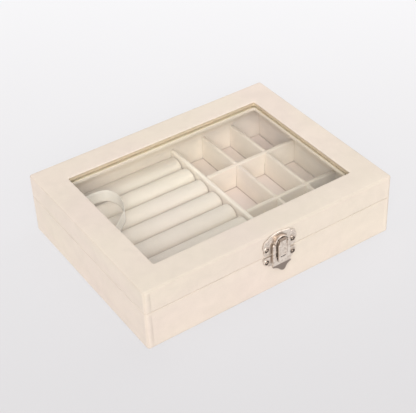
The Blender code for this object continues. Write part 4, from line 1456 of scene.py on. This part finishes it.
def lowerParts(shape, backY, frontY):
    outline = lobedOutline(
        shape["lowerShares"], 0.0, shape["foot"], shape["halfWidth"], shape["lowerHeight"]
    )
    low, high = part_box("base_latch_plate")
    parts = [standingPlate(outline, latchX, low.z, backY, frontY, shape["edge"])]
    for side, start in shape["lowerStarts"].items():
        parts.append(nailScroll(f"base_latch_nail_{side}", start, frontY))
    halfX, halfZ = shape["catchHalf"]
    z = high.z - shape["catchBelowTop"]
    catch = blockMesh(
        Vector((latchX - halfX, frontY - shape["catchDepth"], z - halfZ)),
        Vector((latchX + halfX, frontY + shape["partSunk"], z + halfZ)),
    )
    roundOff(catch, rimEdges(catch, (0, -1, 0)), shape["catchEdge"], 2)
    parts.append(catch)
    return parts


def makePlates(shape, hood):
    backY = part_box("lid_latch_plate")[1].y
    frontY = backY - shape["thickness"]
    upper = joined(upperParts(shape, hood, backY, frontY))
    addPiece("latch_plate_on_lid", upper, latchNickel, "lid", "lid_latch_plate", 35)
    lower = joined(lowerParts(shape, backY, frontY))
    addPiece("latch_plate_on_base", lower, latchNickel, "base", "base_latch_plate", 35)
    for body in ("lid", "base"):
        for side in ("left", "right"):
            name = f"{body}_latch_nail_{side}"
            makeNail(name, frontY, -1, nailShape["latchRadius"], latchNickel, body)


makePlates(plateShape, hoodShape)

# Hasp: two legs and a front panel that curls back round the pin, over a flared and pointed lip
haspShape = {
    "thickness": 0.8 * mm,
    "edge": 0.25 * mm,
    "halfWidth": 7.1 * mm,
    "legWidth": 2.5 * mm,
    "legTop": 17.8 * mm,
    "tall": 20.0 * mm,
    "gapBottom": 4.8 * mm,
    "gapRound": 3.0 * mm,
    "behindPinFront": 0.3 * mm,
    "bossHalf": 3.1 * mm,
    "bossFoot": 2.0 * mm,
    "bossTop": 6.2 * mm,
    "bossSunk": 0.2 * mm,
    "curlRadius": 1.8 * mm,
    "curlHalf": 2.6 * mm,
    "curlBore": 0.62 * mm,
    "curlStandOut": 0.15 * mm,
    "panelHalf": 3.4 * mm,
    "panelBottom": 1.6 * mm,
    "panelRound": 2.6 * mm,
    "shoulder": 17.4 * mm,
    "shoulderDrop": 1.4 * mm,
    "shoulderRise": 1.2 * mm,
    "recess": {
        "half": 2.5 * mm,
        "low": 8.2 * mm,
        "high": 17.4 * mm,
        "depth": 0.28 * mm,
        "slope": 0.25 * mm,
    },
    "slot": {
        "half": 2.2 * mm,
        "low": 6.8 * mm,
        "high": 7.4 * mm,
        "depth": 0.6 * mm,
        "slope": 0.08 * mm,
    },
    "lipHalf": 7.3 * mm,
    "lipDrop": 5.0 * mm,
    "lipFlare": 20.0,
    "lipLap": 0.6 * mm,
    "lipShares": (
        (0.28, 0.04, -0.05),
        (0.58, 0.44, -0.06),
        (0.96, 0.62, 0.10),
        (1.00, 1.00, 0.0),
    ),
    "lipTip": 0.22,
}


def legOutline(shape):
    wide = shape["halfWidth"]
    half = shape["legWidth"] / 2
    middle = wide - half
    top = shape["legTop"] - half
    gapZ = shape["gapBottom"] + shape["gapRound"]
    gapHalf = wide - shape["legWidth"]
    outline = [(-wide, 0), (wide, 0)]
    outline += arcPoints(middle, top, half, half, 0, 180, 12)
    outline += arcPoints(0, gapZ, gapHalf, shape["gapRound"], 0, -180, 20)
    return outline + arcPoints(-middle, top, half, half, 0, 180, 12)


def panelOutline(shape):
    half, tongue = shape["panelHalf"], shape["curlHalf"]
    corner = shape["shoulder"] - shape["shoulderDrop"]
    rise = shape["shoulderRise"]
    foot = shape["panelBottom"] + shape["panelRound"]
    outline = arcPoints(0, foot, half, shape["panelRound"], -180, 0, 20) + [(half, corner)]
    outline += arcPoints(tongue, corner, half - tongue, rise, 30, 90, 3)
    outline += [(tongue, shape["tall"]), (-tongue, shape["tall"])]
    outline += arcPoints(-tongue, corner, half - tongue, rise, 90, 150, 3)
    return outline + [(-half, corner)]


def sinkPanel(bm, shape, foldZ):
    # the panel's face is pressed in, with a slot below the pressed part
    presses = shape["recess"], shape["slot"]
    for press in presses:
        cutAt(bm, 0, latchX - press["half"])
        cutAt(bm, 0, latchX + press["half"])
    for press in presses:
        cutAt(bm, 2, foldZ + press["low"])
        cutAt(bm, 2, foldZ + press["high"])
    for press in presses:
        bm.normal_update()
        chosen = [
            face
            for face in bm.faces
            if face.normal.y < -0.9
            and abs(face.calc_center_median().x - latchX) < press["half"]
            and foldZ + press["low"] < face.calc_center_median().z < foldZ + press["high"]
        ]
        inset(bm, chosen, press["slope"], -press["depth"])


def makeHasp(shape):
    foldZ = haspAxis.z - shape["tall"]
    thick, edge = shape["thickness"], shape["edge"]
    frontY = haspAxis.y - shape["behindPinFront"]
    panelFront = haspAxis.y - shape["curlRadius"] + shape["curlStandOut"]
    panelBack = panelFront + thick
    parts = [standingPlate(legOutline(shape), latchX, foldZ, frontY + thick, frontY, edge)]

    half, sunk = shape["bossHalf"], shape["bossSunk"]
    bossZ = shape["bossFoot"] + shape["panelRound"]
    boss = arcPoints(0, bossZ, half, shape["panelRound"], -180, 0, 20)
    boss += [(half, shape["bossTop"]), (-half, shape["bossTop"])]
    parts.append(standingPlate(boss, latchX, foldZ, frontY + sunk, panelBack - sunk, 0))

    front = standingPlate(panelOutline(shape), latchX, foldZ, panelBack, panelFront, 0)
    topZ = foldZ + shape["tall"] - 2 * touch
    roundOff(front, rimEdges(front, (0, -1, 0), lambda spot: spot.z < topZ), edge, 2)
    sinkPanel(front, shape, foldZ)
    parts.append(front)

    curl, bore, tongue = shape["curlRadius"], shape["curlBore"], shape["curlHalf"]
    ring = [(curl, -tongue), (curl, tongue), (bore, tongue), (bore, -tongue), (curl, -tongue)]
    parts.append(turnedMesh(ring, latchX, haspAxis.y, haspAxis.z, (1, 0, 0), 48))

    lip = lobedOutline(shape["lipShares"], 0.0, shape["lipTip"], shape["lipHalf"], shape["lipDrop"])
    tag = standingPlate(lip, 0, shape["lipLap"] - shape["lipDrop"], thick / 2, -thick / 2, edge)
    turn = Matrix.Rotation(math.radians(-shape["lipFlare"]), 4, "X")
    spot = Matrix.Translation((latchX, frontY + thick / 2, foldZ))
    bmesh.ops.transform(tag, matrix=spot @ turn, verts=tag.verts)
    parts.append(tag)
    addPiece("latch_hasp_and_lip", joined(parts), latchNickel, "hasp", "latch_hasp", 35)


pinShape = {
    "haspRadius": 0.45 * mm,
    "hingeRadius": 0.6 * mm,
    "sides": 24,
    "edge": 0.15 * mm,
}


def makePin(name, radius, finish, body):
    low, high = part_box(name)
    length = high.x - low.x
    middle = (low + high) / 2
    bm = rodMesh(*middle, radius, length, (1, 0, 0), pinShape["sides"], pinShape["edge"])
    addPiece(name + "_rod", bm, finish, body, name, 40)


makeHasp(haspShape)
makePin("hasp_pin", pinShape["haspRadius"], latchNickel, "lid")
print("latch fitted")


# Hinges: two leaves with rolled knuckles on a pin, nailed to the back
hingeShape = {
    "length": 22.0 * mm,
    "fromEnd": 40.0 * mm,
    "thickness": 0.8 * mm,
    "cornerRadius": 1.2 * mm,
    "edge": 0.2 * mm,
    "knuckleRadius": 1.6 * mm,
    "knuckleEdge": 0.15 * mm,
    "bore": 0.75 * mm,
    "knuckles": 5,
    "gap": 0.3 * mm,
}


def makeLeaf(side, body, shape):
    name = f"hinge_{side}_{body}_leaf"
    low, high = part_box(name)
    backY, frontY = low.y, low.y + shape["thickness"]
    length, gap, radius = shape["length"], shape["gap"], shape["knuckleRadius"]
    outer, way = (high.z, 1) if body == "lid" else (low.z, -1)
    near = hingeAxis.z + way * gap
    edgeZ = hingeAxis.z + way * (radius + gap)
    middleX = math.copysign(cadHigh.x - shape["fromEnd"], low.x + high.x)
    plate = blockMesh(
        Vector((middleX - length / 2, backY, min(edgeZ, outer))),
        Vector((middleX + length / 2, frontY, max(edgeZ, outer))),
    )
    corners = [
        edge
        for edge in plate.edges
        if abs(edge.verts[0].co.y - edge.verts[1].co.y) > touch
        and abs(edge.verts[0].co.z - outer) < touch
    ]
    roundOff(plate, corners, shape["cornerRadius"], 4)
    roundOff(plate, rimEdges(plate, (0, 1, 0)), shape["edge"], 2)
    parts = [plate]
    pitch = length / shape["knuckles"]
    half = (pitch - gap) / 2
    edge, bore = shape["knuckleEdge"], shape["bore"]
    profile = [(bore, -half), (radius - edge, -half), (radius, edge - half), (radius, half - edge)]
    profile += [(radius - edge, half), (bore, half), (bore, -half)]
    for number in range(1 if body == "lid" else 0, shape["knuckles"], 2):
        x = middleX - length / 2 + pitch * (number + 0.5)
        tab = blockMesh(
            Vector((x - half, backY, min(edgeZ, near))),
            Vector((x + half, frontY, max(edgeZ, near))),
        )
        parts += [tab, turnedMesh(profile, x, hingeAxis.y, hingeAxis.z, (1, 0, 0), 36)]
    plateName = name.replace("leaf", "plate")
    addPiece(plateName, joined(parts), hingeNickel, body, name, 35)
    for number in (1, 2):
        nail = f"hinge_{side}_{body}_nail_{number}"
        makeNail(nail, frontY, 1, nailShape["hingeRadius"], hingeNickel, body)


for side in ("left", "right"):
    for body in ("base", "lid"):
        makeLeaf(side, body, hingeShape)
    makePin(f"hinge_{side}_pin", pinShape["hingeRadius"], hingeNickel, "base")
print("hinges nailed on")


# Carried over as packed: the boards and the glass
for name, piece in frame["nodes"].items():
    if not piece.hide_render:
        piece.data.materials.clear()
        piece.data.materials.append(glass if name == "window_glass" else board)


# Studio: a pale floor, a soft sky, a wide front light and three lamps
studioLook = {
    "floorNear": (0.690, 0.675, 0.685, 1.0),
    "floorFar": (0.915, 0.910, 0.925, 1.0),
    "floorSize": 6.0,
    "floorDrop": 0.2 * mm,
    "gradeNear": -0.35,
    "gradeFar": 0.35,
    "ownGlow": 0.85,
    "sky": (0.98, 0.975, 1.0, 1.0),
    "skyLevel": 0.31,
    "skyTop": 0.8,
    "horizon": 0.265,
    "mirroredSky": 0.80,
}


def addFloor(look):
    bm = bmesh.new()
    bmesh.ops.create_grid(bm, x_segments=8, y_segments=8, size=look["floorSize"] / 2)
    bmesh.ops.translate(bm, vec=(0, 0, -look["floorDrop"]), verts=bm.verts)
    floor = meshObject("floor", bm)
    material, tree, shader, place = startMaterial("floor", {"Roughness": 0.9})
    apart = addNode(tree, "SeparateXYZ", {"Vector": place}).outputs
    azimuth = math.radians(cameraView["azimuth"])
    across = calc(tree, "MULTIPLY", apart["X"], -math.sin(azimuth))
    depth = calc(tree, "MULTIPLY_ADD", apart["Y"], math.cos(azimuth), across)
    grade = look["gradeNear"], look["gradeFar"]
    tone = toneBy(tree, depth, grade, look["floorNear"], look["floorFar"])
    tree.links.new(tone, shader.inputs["Base Color"])
    # the floor glows for the eye and in the glass, so that it stays pale
    glow = addNode(tree, "Emission", {"Color": tone, "Strength": 1.0})
    rays = addNode(tree, "LightPath").outputs
    seen = calc(tree, "MAXIMUM", rays["Is Camera Ray"], rays["Is Glossy Ray"])
    seen = calc(tree, "MAXIMUM", seen, rays["Is Transmission Ray"])
    share = calc(tree, "MULTIPLY", seen, look["ownGlow"])
    both = addNode(tree, "MixShader", {0: share, 1: shader.outputs[0], 2: glow.outputs[0]})
    tree.links.new(both.outputs[0], tree.nodes["Material Output"].inputs["Surface"])
    floor.data.materials.append(material)


def addSky(look):
    world = bpy.data.worlds.new("soft sky")
    world.use_nodes = True
    scene.world = world
    tree = world.node_tree
    backdrop = tree.nodes["Background"]
    way = addNode(tree, "TexCoord").outputs["Generated"]
    up = addNode(tree, "SeparateXYZ", {"Vector": way}).outputs["Z"]
    level = spread(tree, up, 0.0, look["skyTop"], look["horizon"], look["skyLevel"])
    # glass and metal mirror the studio's white walls
    mirrored = addNode(tree, "LightPath").outputs["Is Glossy Ray"]
    extra = calc(tree, "MULTIPLY", mirrored, look["mirroredSky"] - look["skyLevel"])
    tree.links.new(calc(tree, "ADD", level, extra), backdrop.inputs["Strength"])
    backdrop.inputs["Color"].default_value = look["sky"]


def addLight(name, kind, energy, colour, way, place=(0.0, 0.0, 0.0)):
    light = bpy.data.lights.new(name, kind)
    light.energy = energy
    light.color = colour
    holder = addObject(name, light)
    holder.location = place
    holder.rotation_euler = way.to_track_quat("-Z", "Y").to_euler()
    return light


# even light from behind the camera, as wide as a large soft box
sunLook = {
    "from": (-0.42, -0.68, 0.60),
    "strength": 2.76,
    "spread": 40.0,
    "colour": (1.0, 0.985, 0.97),
}
# each lamp's place, aim, size, power and colour
lamps = {
    "overhead lamp": ((0.30, 0.12, 1.10), (0.02, 0.02, 0.03), (0.8, 0.8), 3.4, (1.0, 0.985, 0.97)),
    "right lamp": ((0.55, 0.15, 0.50), (0.02, 0.02, 0.03), (0.35, 0.35), 0.77, (1.0, 0.98, 0.96)),
    "left lamp": ((-1.20, -0.20, 0.40), (0, 0, 0.02), (0.8, 0.6), 2.4, (1.0, 0.985, 0.97)),
}
addFloor(studioLook)
addSky(studioLook)
sun = addLight("front light", "SUN", sunLook["strength"], sunLook["colour"], -Vector(sunLook["from"]))
sun.angle = math.radians(sunLook["spread"])
for name, (place, aim, size, power, colour) in lamps.items():
    lamp = addLight(name, "AREA", power, colour, Vector(aim) - Vector(place), place)
    lamp.shape = "RECTANGLE"
    lamp.size, lamp.size_y = size
print("studio lit")
